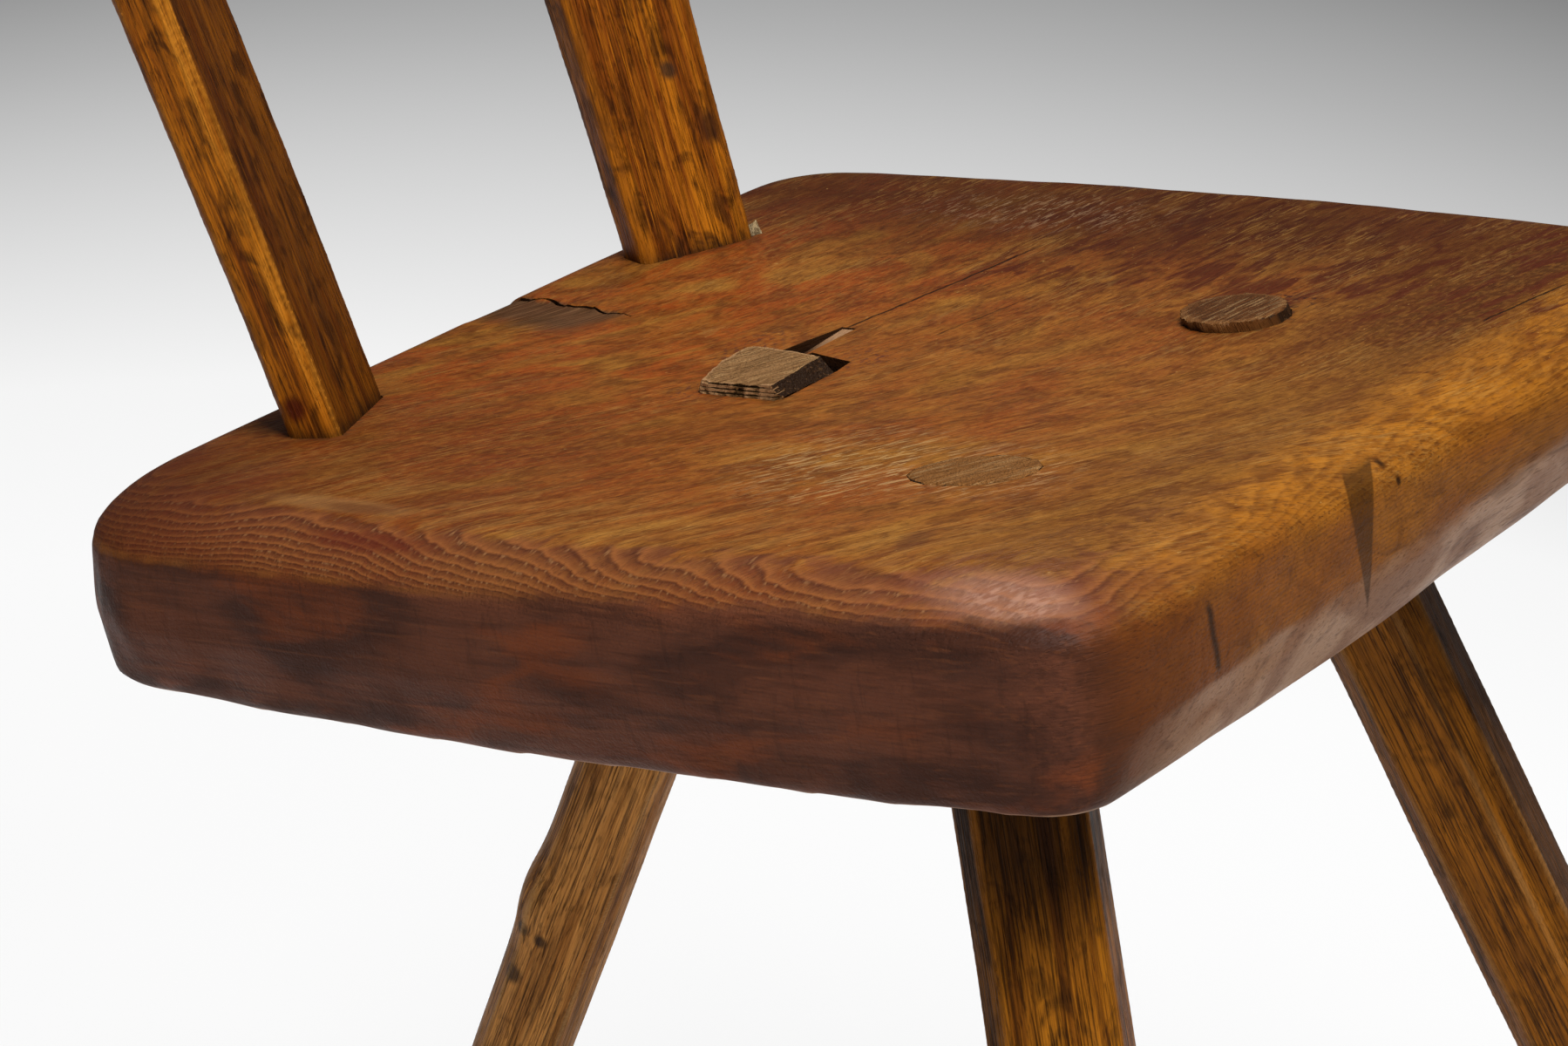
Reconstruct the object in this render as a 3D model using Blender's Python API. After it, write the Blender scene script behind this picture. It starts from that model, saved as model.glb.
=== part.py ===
"""Three-legged back stool: a hewn plank seat on staked legs, two leaning posts and a curved crest rail.

Metres and degrees. X runs to the sitter's left, Y to the rear and Z up from the floor. The seat has a
frame of its own, with its origin in the plank's top face, and falls to the rear.
"""
import math

import bmesh
import bpy
from mathutils import Matrix, Vector

# Fit between pieces that touch
CLEARANCE = 0.0003

# Seat plank: corners of its widest outline, of its sides above the front chamfer and of its underside
SEAT_HEIGHT = 0.430
SEAT_TILT = 5.0
SEAT_RIGHT_FRONT = (-0.174, -0.184)
SEAT_LEFT_FRONT = (0.211, -0.210)
SEAT_LEFT_REAR = (0.217, 0.192)
SEAT_RIGHT_REAR = (-0.195, 0.191)
FACE_RIGHT_FRONT = (-0.172, -0.182)
FACE_LEFT_FRONT = (0.203, -0.193)
FACE_LEFT_REAR = (0.213, 0.190)
FACE_RIGHT_REAR = (-0.195, 0.193)
UNDER_RIGHT_FRONT = (-0.170, -0.176)
UNDER_LEFT_FRONT = (0.198, -0.153)
UNDER_LEFT_REAR = (0.205, 0.184)
UNDER_RIGHT_REAR = (-0.185, 0.185)
SEAT_FRONT_THICKNESS = 0.069
SEAT_REAR_THICKNESS = 0.061
# Height of the hewn chamfer under the front edge, which widens to the left
CHAMFER_RISE = 0.025
RIGHT_FRONT_RADIUS = 0.034
LEFT_FRONT_RADIUS = 0.034
LEFT_REAR_RADIUS = 0.028
RIGHT_REAR_RADIUS = 0.040
UNDER_CORNER_RADIUS = 0.020
# How far the sides bow out between the corners
LEFT_SIDE_BOW = 0.008
RIGHT_SIDE_BOW = 0.007
FRONT_UNDER_BOW = 0.007
# Worn shoulder round the top edge: its width on each side, its curve there (2 for a round roll, towards 1 for
# a flat chamfer) and its depth at each corner
FRONT_SHOULDER = 0.030
LEFT_SHOULDER = 0.016
REAR_SHOULDER = 0.016
RIGHT_SHOULDER = 0.025
FRONT_SHOULDER_CURVE = 1.7
LEFT_SHOULDER_CURVE = 2.0
REAR_SHOULDER_CURVE = 2.0
RIGHT_SHOULDER_CURVE = 1.6
RIGHT_FRONT_SHOULDER_DEPTH = 0.009
LEFT_FRONT_SHOULDER_DEPTH = 0.016
LEFT_REAR_SHOULDER_DEPTH = 0.014
RIGHT_REAR_SHOULDER_DEPTH = 0.015
LOWER_EDGE_RADIUS = 0.004

# Staked legs: places of their tenons in the seat's top, splay from the plumb line, headings from the rear
LEG_SPLAY = 23.3
REAR_TENON = (-0.018, 0.033)
RIGHT_TENON = (-0.077, -0.085)
LEFT_TENON = (0.080, -0.081)
REAR_LEG_HEADING = 4.7
FRONT_LEG_HEADING = 141.7
REAR_LEG_TURN = 0.0
RIGHT_LEG_TURN = 30.0
LEFT_LEG_TURN = 18.0
REAR_TENON_WIDTH = 0.034
REAR_TENON_DEPTH = 0.028
RIGHT_TENON_WIDTH = 0.026
RIGHT_TENON_DEPTH = 0.041
LEFT_TENON_WIDTH = 0.033
LEFT_TENON_DEPTH = 0.033
REAR_LEG_WIDTH = 0.033
RIGHT_LEG_WIDTH = 0.041
LEFT_LEG_WIDTH = 0.037
REAR_FOOT_WIDTH = 0.030
RIGHT_FOOT_WIDTH = 0.035
LEFT_FOOT_WIDTH = 0.033
REAR_TENON_PROUD = 0.006
LEFT_TENON_PROUD = 0.0035
RIGHT_TENON_PROUD = 0.0005
# Share of a leg's length, down from the plank, over which it keeps its full width
LEG_BELLY = 0.42
# Share of the plank's thickness, down from its top, over which a tenon keeps its own section
TENON_STRAIGHT = 1 / 3
# Cut of the arrises as a share of the half width, and how far the section is drawn to an ellipse
SQUARE_TENON_SHAPE = (0.12, 0.0)
ROUND_TENON_SHAPE = (0.55, 1.0)
REAR_LEG_SHAPE = (0.55, 0.8)
RIGHT_LEG_SHAPE = (0.34, 0.1)
LEFT_LEG_SHAPE = (0.40, 0.1)
# Worn gap beside the rear tenon, narrower at its floor, and the split that runs out from it along the grain
WORN_GAP_WIDTH = 0.008
WORN_GAP_FLOOR_WIDTH = 0.0032
WORN_GAP_DEPTH = 0.022
SPLIT_LENGTH = 0.041
SPLIT_WIDTH = 0.0105
SPLIT_END_WIDTH = 0.004
SPLIT_DEPTH = 0.009
SPLIT_END_DEPTH = 0.001
SPLIT_TURN = -10.5

# Back posts: places of their feet in the seat's top, lean and spread in the seat frame
RIGHT_POST_FOOT = (-0.089, 0.153)
LEFT_POST_FOOT = (0.105, 0.156)
RIGHT_POST_TURN = 20.0
LEFT_POST_TURN = -25.0
POST_LEAN = 14.8
POST_SPREAD = 3.9
RIGHT_POST_FOOT_WIDTH = 0.045
LEFT_POST_FOOT_WIDTH = 0.043
RIGHT_POST_HEAD_WIDTH = 0.050
LEFT_POST_HEAD_WIDTH = 0.057
POST_FOOT_THICKNESS = 0.0168
POST_HEAD_THICKNESS = 0.019
POST_ARRIS = 0.0025
POST_TENON_PROUD = 0.003
POST_HEAD_TENON_WIDTH = 0.034
POST_HEAD_TENON_THICKNESS = 0.012
POST_HEAD_TENON_LENGTH = 0.058

# Shim driven in beside the left post
SHIM_LENGTH = 0.036
SHIM_WIDTH = 0.011
SHIM_THICKNESS = 0.0045
SHIM_TIP = 0.0015
SHIM_PROUD = 0.0015

# Crest rail: distance up the posts, height, thickness and how far it runs past them
RAIL_DISTANCE = 0.300
RAIL_HEIGHT = 0.088
RAIL_END_HEIGHT = 0.050
RAIL_THICKNESS = 0.030
RAIL_EDGE_RADIUS = 0.005
RAIL_OVERHANG = 15.0
RAIL_END_LIFT = 0.012
PEG_DIAMETER = 0.009
PEG_PROUD = 0.002
PEG_HEIGHT = 0.030
PEG_SIDES = 16

# Colours of the woods, and how rough their worn or waxed faces are
SEAT_COLOUR = (0.200, 0.062, 0.016)
REAR_LEG_COLOUR = (0.150, 0.060, 0.018)
RIGHT_LEG_COLOUR = (0.140, 0.052, 0.013)
LEFT_LEG_COLOUR = (0.145, 0.056, 0.014)
POST_COLOUR = (0.190, 0.074, 0.014)
RAIL_COLOUR = (0.165, 0.062, 0.016)
PEG_COLOUR = (0.110, 0.045, 0.014)
SHIM_COLOUR = (0.420, 0.300, 0.170)
SEAT_ROUGHNESS = 0.38
LEG_ROUGHNESS = 0.45
POST_ROUGHNESS = 0.42
PEG_ROUGHNESS = 0.50
SHIM_ROUGHNESS = 0.70
# Edges that bend by more than this are left sharp
SHARP_ANGLE = 35.0

# Length by which a bar or a cutter runs past the face that trims it
SPARE = 0.030
STOOL = bpy.data.collections.new("tripod_stool")
CUTTERS = bpy.data.collections.new("cutters")


def radians_x(angle):
    """Rotation about X by an angle in degrees."""
    return Matrix.Rotation(math.radians(angle), 4, "X")


def seat_frame():
    """Seat frame in the stool's frame: the top face, falling to the rear."""
    return Matrix.Translation((0, 0, SEAT_HEIGHT)) @ radians_x(-SEAT_TILT)


def seat_thickness(y):
    """Plank thickness at a distance from the front, straight from the front edge to the rear edge."""
    front = SEAT_LEFT_FRONT[1]
    share = (y - front) / (SEAT_LEFT_REAR[1] - front)
    return SEAT_FRONT_THICKNESS + share * (SEAT_REAR_THICKNESS - SEAT_FRONT_THICKNESS)


def axis_frame(place, axis, across):
    """Frame at a place, Z along the axis and X as near as can be to the direction across."""
    z = axis.normalized()
    x = (across - z * across.dot(z)).normalized()
    turn = Matrix((x, z.cross(x), z)).transposed().to_4x4()
    return Matrix.Translation(place) @ turn


def wood(name, colour, roughness):
    """Plain wood material in one colour."""
    material = bpy.data.materials.new(name)
    material.use_nodes = True
    shader = material.node_tree.nodes["Principled BSDF"]
    shader.inputs["Base Color"].default_value = (*colour, 1)
    shader.inputs["Roughness"].default_value = roughness
    shader.inputs["Metallic"].default_value = 0
    material.diffuse_color = (*colour, 1)
    return material


def add_object(name, mesh, frame, parent, collection):
    """Object in a collection, placed by its frame under a parent."""
    item = bpy.data.objects.new(name, mesh)
    item.parent = parent
    item.location = frame.to_translation()
    item.rotation_euler = frame.to_euler()
    collection.objects.link(item)
    return item


def add_piece(name, mesh, frame, parent, colour, roughness):
    """Piece of the stool, with a wood of its own."""
    mesh.materials.append(wood(name, colour, roughness))
    mesh.shade_smooth()
    mesh.set_sharp_from_angle(angle=math.radians(SHARP_ANGLE))
    return add_object(name, mesh, frame, parent, STOOL)


def add_cutter(name, mesh, frame, parent):
    """Solid that only cuts or lengthens a piece."""
    cutter = add_object(name, mesh, frame, parent, CUTTERS)
    cutter.hide_render = True
    cutter.display_type = "WIRE"
    return cutter


def mesh_from(bm, name):
    """Mesh with outward faces from a bmesh that is then freed."""
    bmesh.ops.recalc_face_normals(bm, faces=bm.faces)
    mesh = bpy.data.meshes.new(name)
    bm.to_mesh(mesh)
    bm.free()
    return mesh


def loft(rings):
    """Closed solid through rings of as many points each, split alike for a bar and for its mortise."""
    bm = bmesh.new()
    loops = [[bm.verts.new(point) for point in ring] for ring in rings]
    count = len(rings[0])
    for low, high in zip(loops, loops[1:]):
        for i in range(count):
            j = (i + 1) % count
            bm.faces.new((low[i], low[j], high[j]))
            bm.faces.new((low[i], high[j], high[i]))
    bm.faces.new(reversed(loops[0]))
    bm.faces.new(loops[-1])
    return bm


def bar_section(z, half_x, half_y, chamfer, roundness):
    """Section of a hewn bar: a rectangle with cut arrises, drawn towards an ellipse by the roundness."""
    points = []
    for quarter in range(4):
        turn = Matrix.Rotation(quarter * math.pi / 2, 2)
        flat = ((1, 0), (1, 1 - chamfer), (1 - chamfer / 2, 1 - chamfer / 2), (1 - chamfer, 1))
        for corner in flat:
            square = turn @ Vector(corner)
            point = square.lerp(square.normalized(), roundness)
            points.append((half_x * point.x, half_y * point.y, z))
    return points


def cut_flat(bm, frame, place, normal):
    """Cut a bar off square to a plane given in the stool's frame, keeping the side behind the normal."""
    inverse = frame.inverted()
    geometry = bm.verts[:] + bm.edges[:] + bm.faces[:]
    cut = bmesh.ops.bisect_plane(
        bm, geom=geometry, clear_outer=True,
        plane_co=inverse @ place, plane_no=inverse.to_3x3() @ normal,
    )
    edges = [item for item in cut["geom_cut"] if isinstance(item, bmesh.types.BMEdge)]
    bmesh.ops.contextual_create(bm, geom=edges)


def combine(piece, other, operation):
    """Join one solid to a piece, or cut it out."""
    modifier = piece.modifiers.new(other.name, "BOOLEAN")
    modifier.operation = operation
    modifier.solver = "EXACT"
    modifier.object = other


def subtract(piece, cutter):
    """Cut one solid out of a piece."""
    combine(piece, cutter, "DIFFERENCE")


def inset_corners(corners, insets):
    """Corners of a four-sided outline after each side has moved inward by its own distance."""
    lines = []
    for i, inset in enumerate(insets):
        start = Vector(corners[i])
        along = (Vector(corners[(i + 1) % 4]) - start).normalized()
        inward = Vector((-along.y, along.x))
        lines.append((start + inward * inset, along))
    moved = []
    for i in range(4):
        place, along = lines[i]
        other, other_along = lines[i - 1]
        share = (other - place).cross(other_along) / along.cross(other_along)
        moved.append(place + along * share)
    return moved


def plank_outline(corners, radii, bows):
    """Outline of the plank: arcs at its corners, and sides that may bow out between them."""
    arc_steps = 6
    side_steps = 6
    outline = []
    for i in range(4):
        radius = radii[i]
        next_radius = radii[(i + 1) % 4]
        corner = corners[i]
        to_last = (corners[i - 1] - corner).normalized()
        to_next = (corners[(i + 1) % 4] - corner).normalized()
        half_angle = to_last.angle(to_next) / 2
        centre = corner + (to_last + to_next).normalized() * (radius / math.sin(half_angle))
        start = corner + to_last * (radius / math.tan(half_angle)) - centre
        sweep = math.pi - 2 * half_angle
        for step in range(arc_steps + 1):
            outline.append(centre + Matrix.Rotation(sweep * step / arc_steps, 2) @ start)
        end = outline[-1]
        ahead = corners[(i + 1) % 4]
        next_half = ((corner - ahead).angle(corners[(i + 2) % 4] - ahead)) / 2
        finish = ahead - to_next * (next_radius / math.tan(next_half))
        outward = Vector((to_next.y, -to_next.x))
        for step in range(1, side_steps):
            share = step / side_steps
            outline.append(end.lerp(finish, share) + outward * (bows[i] * 4 * share * (1 - share)))
    return outline


def shoulder_depth(point):
    """Depth of the worn shoulder, spread evenly between its values at the four corners."""
    across = (point.x - SEAT_RIGHT_REAR[0]) / (SEAT_LEFT_REAR[0] - SEAT_RIGHT_REAR[0])
    back = (point.y - SEAT_LEFT_FRONT[1]) / (SEAT_LEFT_REAR[1] - SEAT_LEFT_FRONT[1])
    front = RIGHT_FRONT_SHOULDER_DEPTH * (1 - across) + LEFT_FRONT_SHOULDER_DEPTH * across
    rear = RIGHT_REAR_SHOULDER_DEPTH * (1 - across) + LEFT_REAR_SHOULDER_DEPTH * across
    return front * (1 - back) + rear * back


def plank_rings():
    """Rings of the seat plank from its underside up to its top face."""
    top = (SEAT_RIGHT_FRONT, SEAT_LEFT_FRONT, SEAT_LEFT_REAR, SEAT_RIGHT_REAR)
    face = (FACE_RIGHT_FRONT, FACE_LEFT_FRONT, FACE_LEFT_REAR, FACE_RIGHT_REAR)
    under = (UNDER_RIGHT_FRONT, UNDER_LEFT_FRONT, UNDER_LEFT_REAR, UNDER_RIGHT_REAR)
    shoulders = (FRONT_SHOULDER, LEFT_SHOULDER, REAR_SHOULDER, RIGHT_SHOULDER)
    curves = (FRONT_SHOULDER_CURVE, LEFT_SHOULDER_CURVE, REAR_SHOULDER_CURVE, RIGHT_SHOULDER_CURVE)
    side_bows = (0, LEFT_SIDE_BOW, 0, RIGHT_SIDE_BOW)
    under_bows = (FRONT_UNDER_BOW, LEFT_SIDE_BOW, 0, RIGHT_SIDE_BOW)
    radii = (RIGHT_FRONT_RADIUS, LEFT_FRONT_RADIUS, LEFT_REAR_RADIUS, RIGHT_REAR_RADIUS)
    under_radii = (UNDER_CORNER_RADIUS,) * 4
    rings = []
    for corners, inset, rise, bend, bows in (
        (under, LOWER_EDGE_RADIUS, 0, under_radii, under_bows),
        (under, 0, LOWER_EDGE_RADIUS, under_radii, under_bows),
        (face, 0, CHAMFER_RISE, radii, side_bows),
    ):
        outline = plank_outline(inset_corners(corners, [inset] * 4), bend, bows)
        rings.append([(p.x, p.y, rise - seat_thickness(p.y)) for p in outline])
    shoulder_steps = 5
    for step in range(shoulder_steps, -1, -1):
        height_share = math.cos(math.pi / 2 * step / shoulder_steps)
        insets = [w * (1 - (1 - height_share ** c) ** (1 / c)) for w, c in zip(shoulders, curves)]
        outline = plank_outline(inset_corners(top, insets), radii, side_bows)
        rings.append([(p.x, p.y, -shoulder_depth(p) * (1 - height_share)) for p in outline])
    return rings


def make_seat(parent):
    """Seat plank, before its mortises are cut."""
    mesh = mesh_from(loft(plank_rings()), "seat_plank")
    return add_piece("seat_plank", mesh, seat_frame(), parent, SEAT_COLOUR, SEAT_ROUGHNESS)


def leg_rings(leg, reach, through, grow):
    """Sections of a leg from its foot up past its tenon, grown by a clearance for the mortise's cutter."""
    half = leg["width"] / 2 + grow
    foot = leg["foot_width"] / 2 + grow
    tenon = (leg["tenon_width"] / 2 + grow, leg["tenon_depth"] / 2 + grow, *leg["tenon_shape"])
    return [
        bar_section(-reach - SPARE, foot, foot, *leg["shape"]),
        bar_section(-reach, foot, foot, *leg["shape"]),
        bar_section(-through - LEG_BELLY * (reach - through), half, half, *leg["shape"]),
        bar_section(-through, half, half, *leg["shape"]),
        bar_section(-through * TENON_STRAIGHT, *tenon),
        bar_section(SPARE, *tenon),
    ]


def make_leg(name, leg, parent, seat, colour):
    """Staked leg: its tenon goes up through the plank, and its foot is cut flat on the floor."""
    plank = seat_frame()
    up = plank.to_3x3() @ Vector((0, 0, 1))
    heading = math.radians(leg["heading"])
    splay = math.radians(LEG_SPLAY)
    outward = Vector((-math.sin(heading), math.cos(heading), 0)) * math.sin(splay)
    axis = Vector((0, 0, math.cos(splay))) - outward
    place = plank @ Vector((*leg["tenon"], 0))
    frame = axis_frame(place, axis, Vector((1, 0, 0))) @ Matrix.Rotation(math.radians(leg["turn"]), 4, "Z")
    reach = place.z / math.cos(splay)
    through = seat_thickness(leg["tenon"][1]) / axis.dot(up)
    bm = loft(leg_rings(leg, reach, through, 0))
    cut_flat(bm, frame, Vector((0, 0, 0)), Vector((0, 0, -1)))
    cut_flat(bm, frame, place + up * leg["proud"], up)
    add_piece(name, mesh_from(bm, name), frame, parent, colour, LEG_ROUGHNESS)
    mortise = mesh_from(loft(leg_rings(leg, reach, through, CLEARANCE)), name + "_mortise")
    subtract(seat, add_cutter(name + "_mortise", mortise, frame, parent))


def make_legs(parent, seat):
    """The three legs: a square tenon at the rear, round tenons in front."""
    rear = dict(
        tenon=REAR_TENON, tenon_width=REAR_TENON_WIDTH, tenon_depth=REAR_TENON_DEPTH,
        tenon_shape=SQUARE_TENON_SHAPE, proud=REAR_TENON_PROUD, heading=REAR_LEG_HEADING,
        turn=REAR_LEG_TURN, width=REAR_LEG_WIDTH, foot_width=REAR_FOOT_WIDTH, shape=REAR_LEG_SHAPE,
    )
    right = dict(
        tenon=RIGHT_TENON, tenon_width=RIGHT_TENON_WIDTH, tenon_depth=RIGHT_TENON_DEPTH,
        tenon_shape=ROUND_TENON_SHAPE, proud=RIGHT_TENON_PROUD, heading=FRONT_LEG_HEADING,
        turn=RIGHT_LEG_TURN, width=RIGHT_LEG_WIDTH, foot_width=RIGHT_FOOT_WIDTH, shape=RIGHT_LEG_SHAPE,
    )
    left = dict(
        tenon=LEFT_TENON, tenon_width=LEFT_TENON_WIDTH, tenon_depth=LEFT_TENON_DEPTH,
        tenon_shape=ROUND_TENON_SHAPE, proud=LEFT_TENON_PROUD, heading=-FRONT_LEG_HEADING,
        turn=LEFT_LEG_TURN, width=LEFT_LEG_WIDTH, foot_width=LEFT_FOOT_WIDTH, shape=LEFT_LEG_SHAPE,
    )
    make_leg("rear_leg", rear, parent, seat, REAR_LEG_COLOUR)
    make_leg("right_front_leg", right, parent, seat, RIGHT_LEG_COLOUR)
    make_leg("left_front_leg", left, parent, seat, LEFT_LEG_COLOUR)


def cube_mesh(name, size, centre, top_scale=(1, 1)):
    """Box of a size about a centre, with its top face scaled."""
    bm = bmesh.new()
    bmesh.ops.create_cube(bm, size=1)
    for vert in bm.verts:
        scale = top_scale if vert.co.z > 0 else (1, 1)
        vert.co.x *= size[0] * scale[0]
        vert.co.y *= size[1] * scale[1]
        vert.co.z *= size[2]
        vert.co += Vector(centre)
    return mesh_from(bm, name)


def worn_mortise(parent, seat):
    """Worn gap on the left of the rear tenon, and the split that narrows as it runs out to the left."""
    plank = seat_frame()
    edge_x = REAR_TENON[0] + REAR_TENON_WIDTH / 2
    rear_y = REAR_TENON[1] + REAR_TENON_DEPTH / 2
    width_above = 2 * WORN_GAP_WIDTH - WORN_GAP_FLOOR_WIDTH
    size = (2 * WORN_GAP_FLOOR_WIDTH, REAR_TENON_DEPTH, 2 * WORN_GAP_DEPTH)
    gap = cube_mesh("worn_gap", size, (0, 0, 0), (width_above / WORN_GAP_FLOOR_WIDTH, 1))
    place = Matrix.Translation((edge_x, REAR_TENON[1], 0))
    subtract(seat, add_cutter("worn_gap", gap, plank @ place, parent))
    rings = []
    for x, width, depth in ((0, SPLIT_WIDTH, SPLIT_DEPTH), (SPLIT_LENGTH, SPLIT_END_WIDTH, SPLIT_END_DEPTH)):
        half = width / 2
        rings.append([(x, -half, -depth), (x, half, -depth), (x, half, SPLIT_DEPTH), (x, -half, SPLIT_DEPTH)])
    split = mesh_from(loft(rings), "split")
    place = Matrix.Translation((edge_x, rear_y, 0)) @ Matrix.Rotation(math.radians(SPLIT_TURN), 4, "Z")
    subtract(seat, add_cutter("split", split, plank @ place, parent))


def rail_frame():
    """Frame of the crest rail: between the posts, at the rail's lower edge, leaning back with them."""
    middle = (Vector(RIGHT_POST_FOOT) + Vector(LEFT_POST_FOOT)) / 2
    lean = Matrix.Translation((middle.x, middle.y, 0)) @ radians_x(-POST_LEAN)
    return seat_frame() @ lean @ Matrix.Translation((0, 0, RAIL_DISTANCE))


def post_frame(foot, side, turn):
    """Frame of a post: its foot in the seat's top, Z up the post, X across its front face."""
    spread = math.tan(math.radians(POST_SPREAD)) * side
    axis = Vector((spread, math.tan(math.radians(POST_LEAN)), 1)).normalized()
    frame = axis_frame(Vector((*foot, 0)), axis, Vector((1, 0, 0)))
    return seat_frame() @ frame @ Matrix.Rotation(math.radians(turn), 4, "Z")


def post_body(foot_width, head_width, grow, low, high):
    """Tapered bar of a post between two distances along it, grown by a clearance for its mortise."""
    def section(z):
        share = max(z, 0) / RAIL_DISTANCE
        width = foot_width + share * (head_width - foot_width)
        thick = POST_FOOT_THICKNESS + share * (POST_HEAD_THICKNESS - POST_FOOT_THICKNESS)
        half_x = width / 2 + grow
        half_y = thick / 2 + grow
        points = []
        for sx, sy in ((1, 1), (-1, 1), (-1, -1), (1, -1)):
            side = (sx * half_x, sy * (half_y - POST_ARRIS), z)
            face = (sx * (half_x - POST_ARRIS), sy * half_y, z)
            points += [side, face] if sx * sy > 0 else [face, side]
        return points
    return loft([section(low), section(0), section(high)])


def head_tenon(grow):
    """Tenon at the head of a post, grown by a clearance for its mortise in the rail."""
    length = POST_HEAD_TENON_LENGTH + grow
    size = (POST_HEAD_TENON_WIDTH + 2 * grow, POST_HEAD_TENON_THICKNESS + 2 * grow, SPARE + length)
    return size, (0, 0, RAIL_DISTANCE - SPARE + size[2] / 2)


def make_post(name, foot, side, turn, widths, parent, seat, rail):
    """Back post: a through tenon in the plank, a shoulder under the rail and a tenon up into it."""
    plank = seat_frame()
    up = plank.to_3x3() @ Vector((0, 0, 1))
    frame = post_frame(foot, side, turn)
    under = plank @ Vector((*foot, -seat_thickness(foot[1]) - POST_TENON_PROUD))
    crest = rail_frame()
    crest_up = crest.to_3x3() @ Vector((0, 0, 1))
    low = -seat_thickness(foot[1]) - POST_TENON_PROUD - SPARE
    bm = post_body(*widths, 0, low, RAIL_DISTANCE + SPARE)
    cut_flat(bm, frame, under, -up)
    cut_flat(bm, frame, crest.to_translation() - crest_up * CLEARANCE, crest_up)
    post = add_piece(name, mesh_from(bm, name), frame, parent, POST_COLOUR, POST_ROUGHNESS)
    tenon = add_cutter(name + "_tenon", cube_mesh("tenon", *head_tenon(0)), frame, parent)
    combine(post, tenon, "UNION")
    mortise = mesh_from(post_body(*widths, CLEARANCE, low, RAIL_DISTANCE), name + "_mortise")
    subtract(seat, add_cutter(name + "_mortise", mortise, frame, parent))
    socket = cube_mesh("socket", *head_tenon(CLEARANCE))
    subtract(rail, add_cutter(name + "_socket", socket, frame, parent))
    make_peg(name, frame, parent, post, rail)


def make_peg(name, frame, parent, post, rail):
    """Peg through the rail and the head tenon of one post."""
    peg_name = name.replace("back_post", "crest_peg")
    length = RAIL_THICKNESS + 2 * PEG_PROUD
    across = frame @ Matrix.Translation((0, 0, RAIL_DISTANCE + PEG_HEIGHT)) @ radians_x(90)

    def round_bar(part_name, diameter, span):
        bm = bmesh.new()
        bmesh.ops.create_cone(bm, cap_ends=True, segments=PEG_SIDES, radius1=diameter / 2,
                              radius2=diameter / 2, depth=span)
        return mesh_from(bm, part_name)

    peg = round_bar(peg_name, PEG_DIAMETER, length)
    add_piece(peg_name, peg, across, parent, PEG_COLOUR, PEG_ROUGHNESS)
    hole = round_bar("peg_hole", PEG_DIAMETER + 2 * CLEARANCE, length + SPARE)
    cutter = add_cutter(peg_name + "_hole", hole, across, parent)
    subtract(post, cutter)
    subtract(rail, cutter)


def rail_turn():
    """Mean turn of the posts, which face the rail's centre of curvature."""
    return math.radians((RIGHT_POST_TURN - LEFT_POST_TURN) / 2)


def make_rail(parent):
    """Crest rail: a board hewn to a curve, with its ends rounded down, before its mortises are cut."""
    reach = math.tan(math.radians(POST_SPREAD)) * math.cos(math.radians(POST_LEAN)) * RAIL_DISTANCE
    half_span = (LEFT_POST_FOOT[0] - RIGHT_POST_FOOT[0]) / 2 + reach
    radius = half_span / math.sin(rail_turn())
    end_turn = rail_turn() + math.radians(RAIL_OVERHANG)
    post_edge = rail_turn() + LEFT_POST_HEAD_WIDTH / 2 / radius
    steps = 18
    rings = []
    for step in range(steps + 1):
        angle = -end_turn + 2 * end_turn * step / steps
        past = max(0, abs(angle) - post_edge) / (end_turn - post_edge)
        bottom = RAIL_END_LIFT * past * past
        top = RAIL_HEIGHT - (RAIL_HEIGHT - RAIL_END_HEIGHT - RAIL_END_LIFT) * (angle / end_turn) ** 2
        out = Vector((math.sin(angle), math.cos(angle), 0))
        centre = out * radius - Vector((0, radius * math.cos(rail_turn()), 0))
        rings.append(rail_section(centre, out, bottom, top))
    mesh = mesh_from(loft(rings), "crest_rail")
    return add_piece("crest_rail", mesh, rail_frame(), parent, RAIL_COLOUR, POST_ROUGHNESS)


def rail_section(centre, out, bottom, top):
    """Section of the rail: a rounded rectangle across its thickness."""
    arc_steps = 3
    half = RAIL_THICKNESS / 2 - RAIL_EDGE_RADIUS
    middle = (top + bottom) / 2
    rise = (top - bottom) / 2 - RAIL_EDGE_RADIUS
    points = []
    for quarter, (u, v) in enumerate(((half, rise), (-half, rise), (-half, -rise), (half, -rise))):
        for step in range(arc_steps + 1):
            angle = math.pi / 2 * (quarter + step / arc_steps)
            across = u + RAIL_EDGE_RADIUS * math.cos(angle)
            height = middle + v + RAIL_EDGE_RADIUS * math.sin(angle)
            points.append(centre + out * across + Vector((0, 0, height)))
    return points


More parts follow.
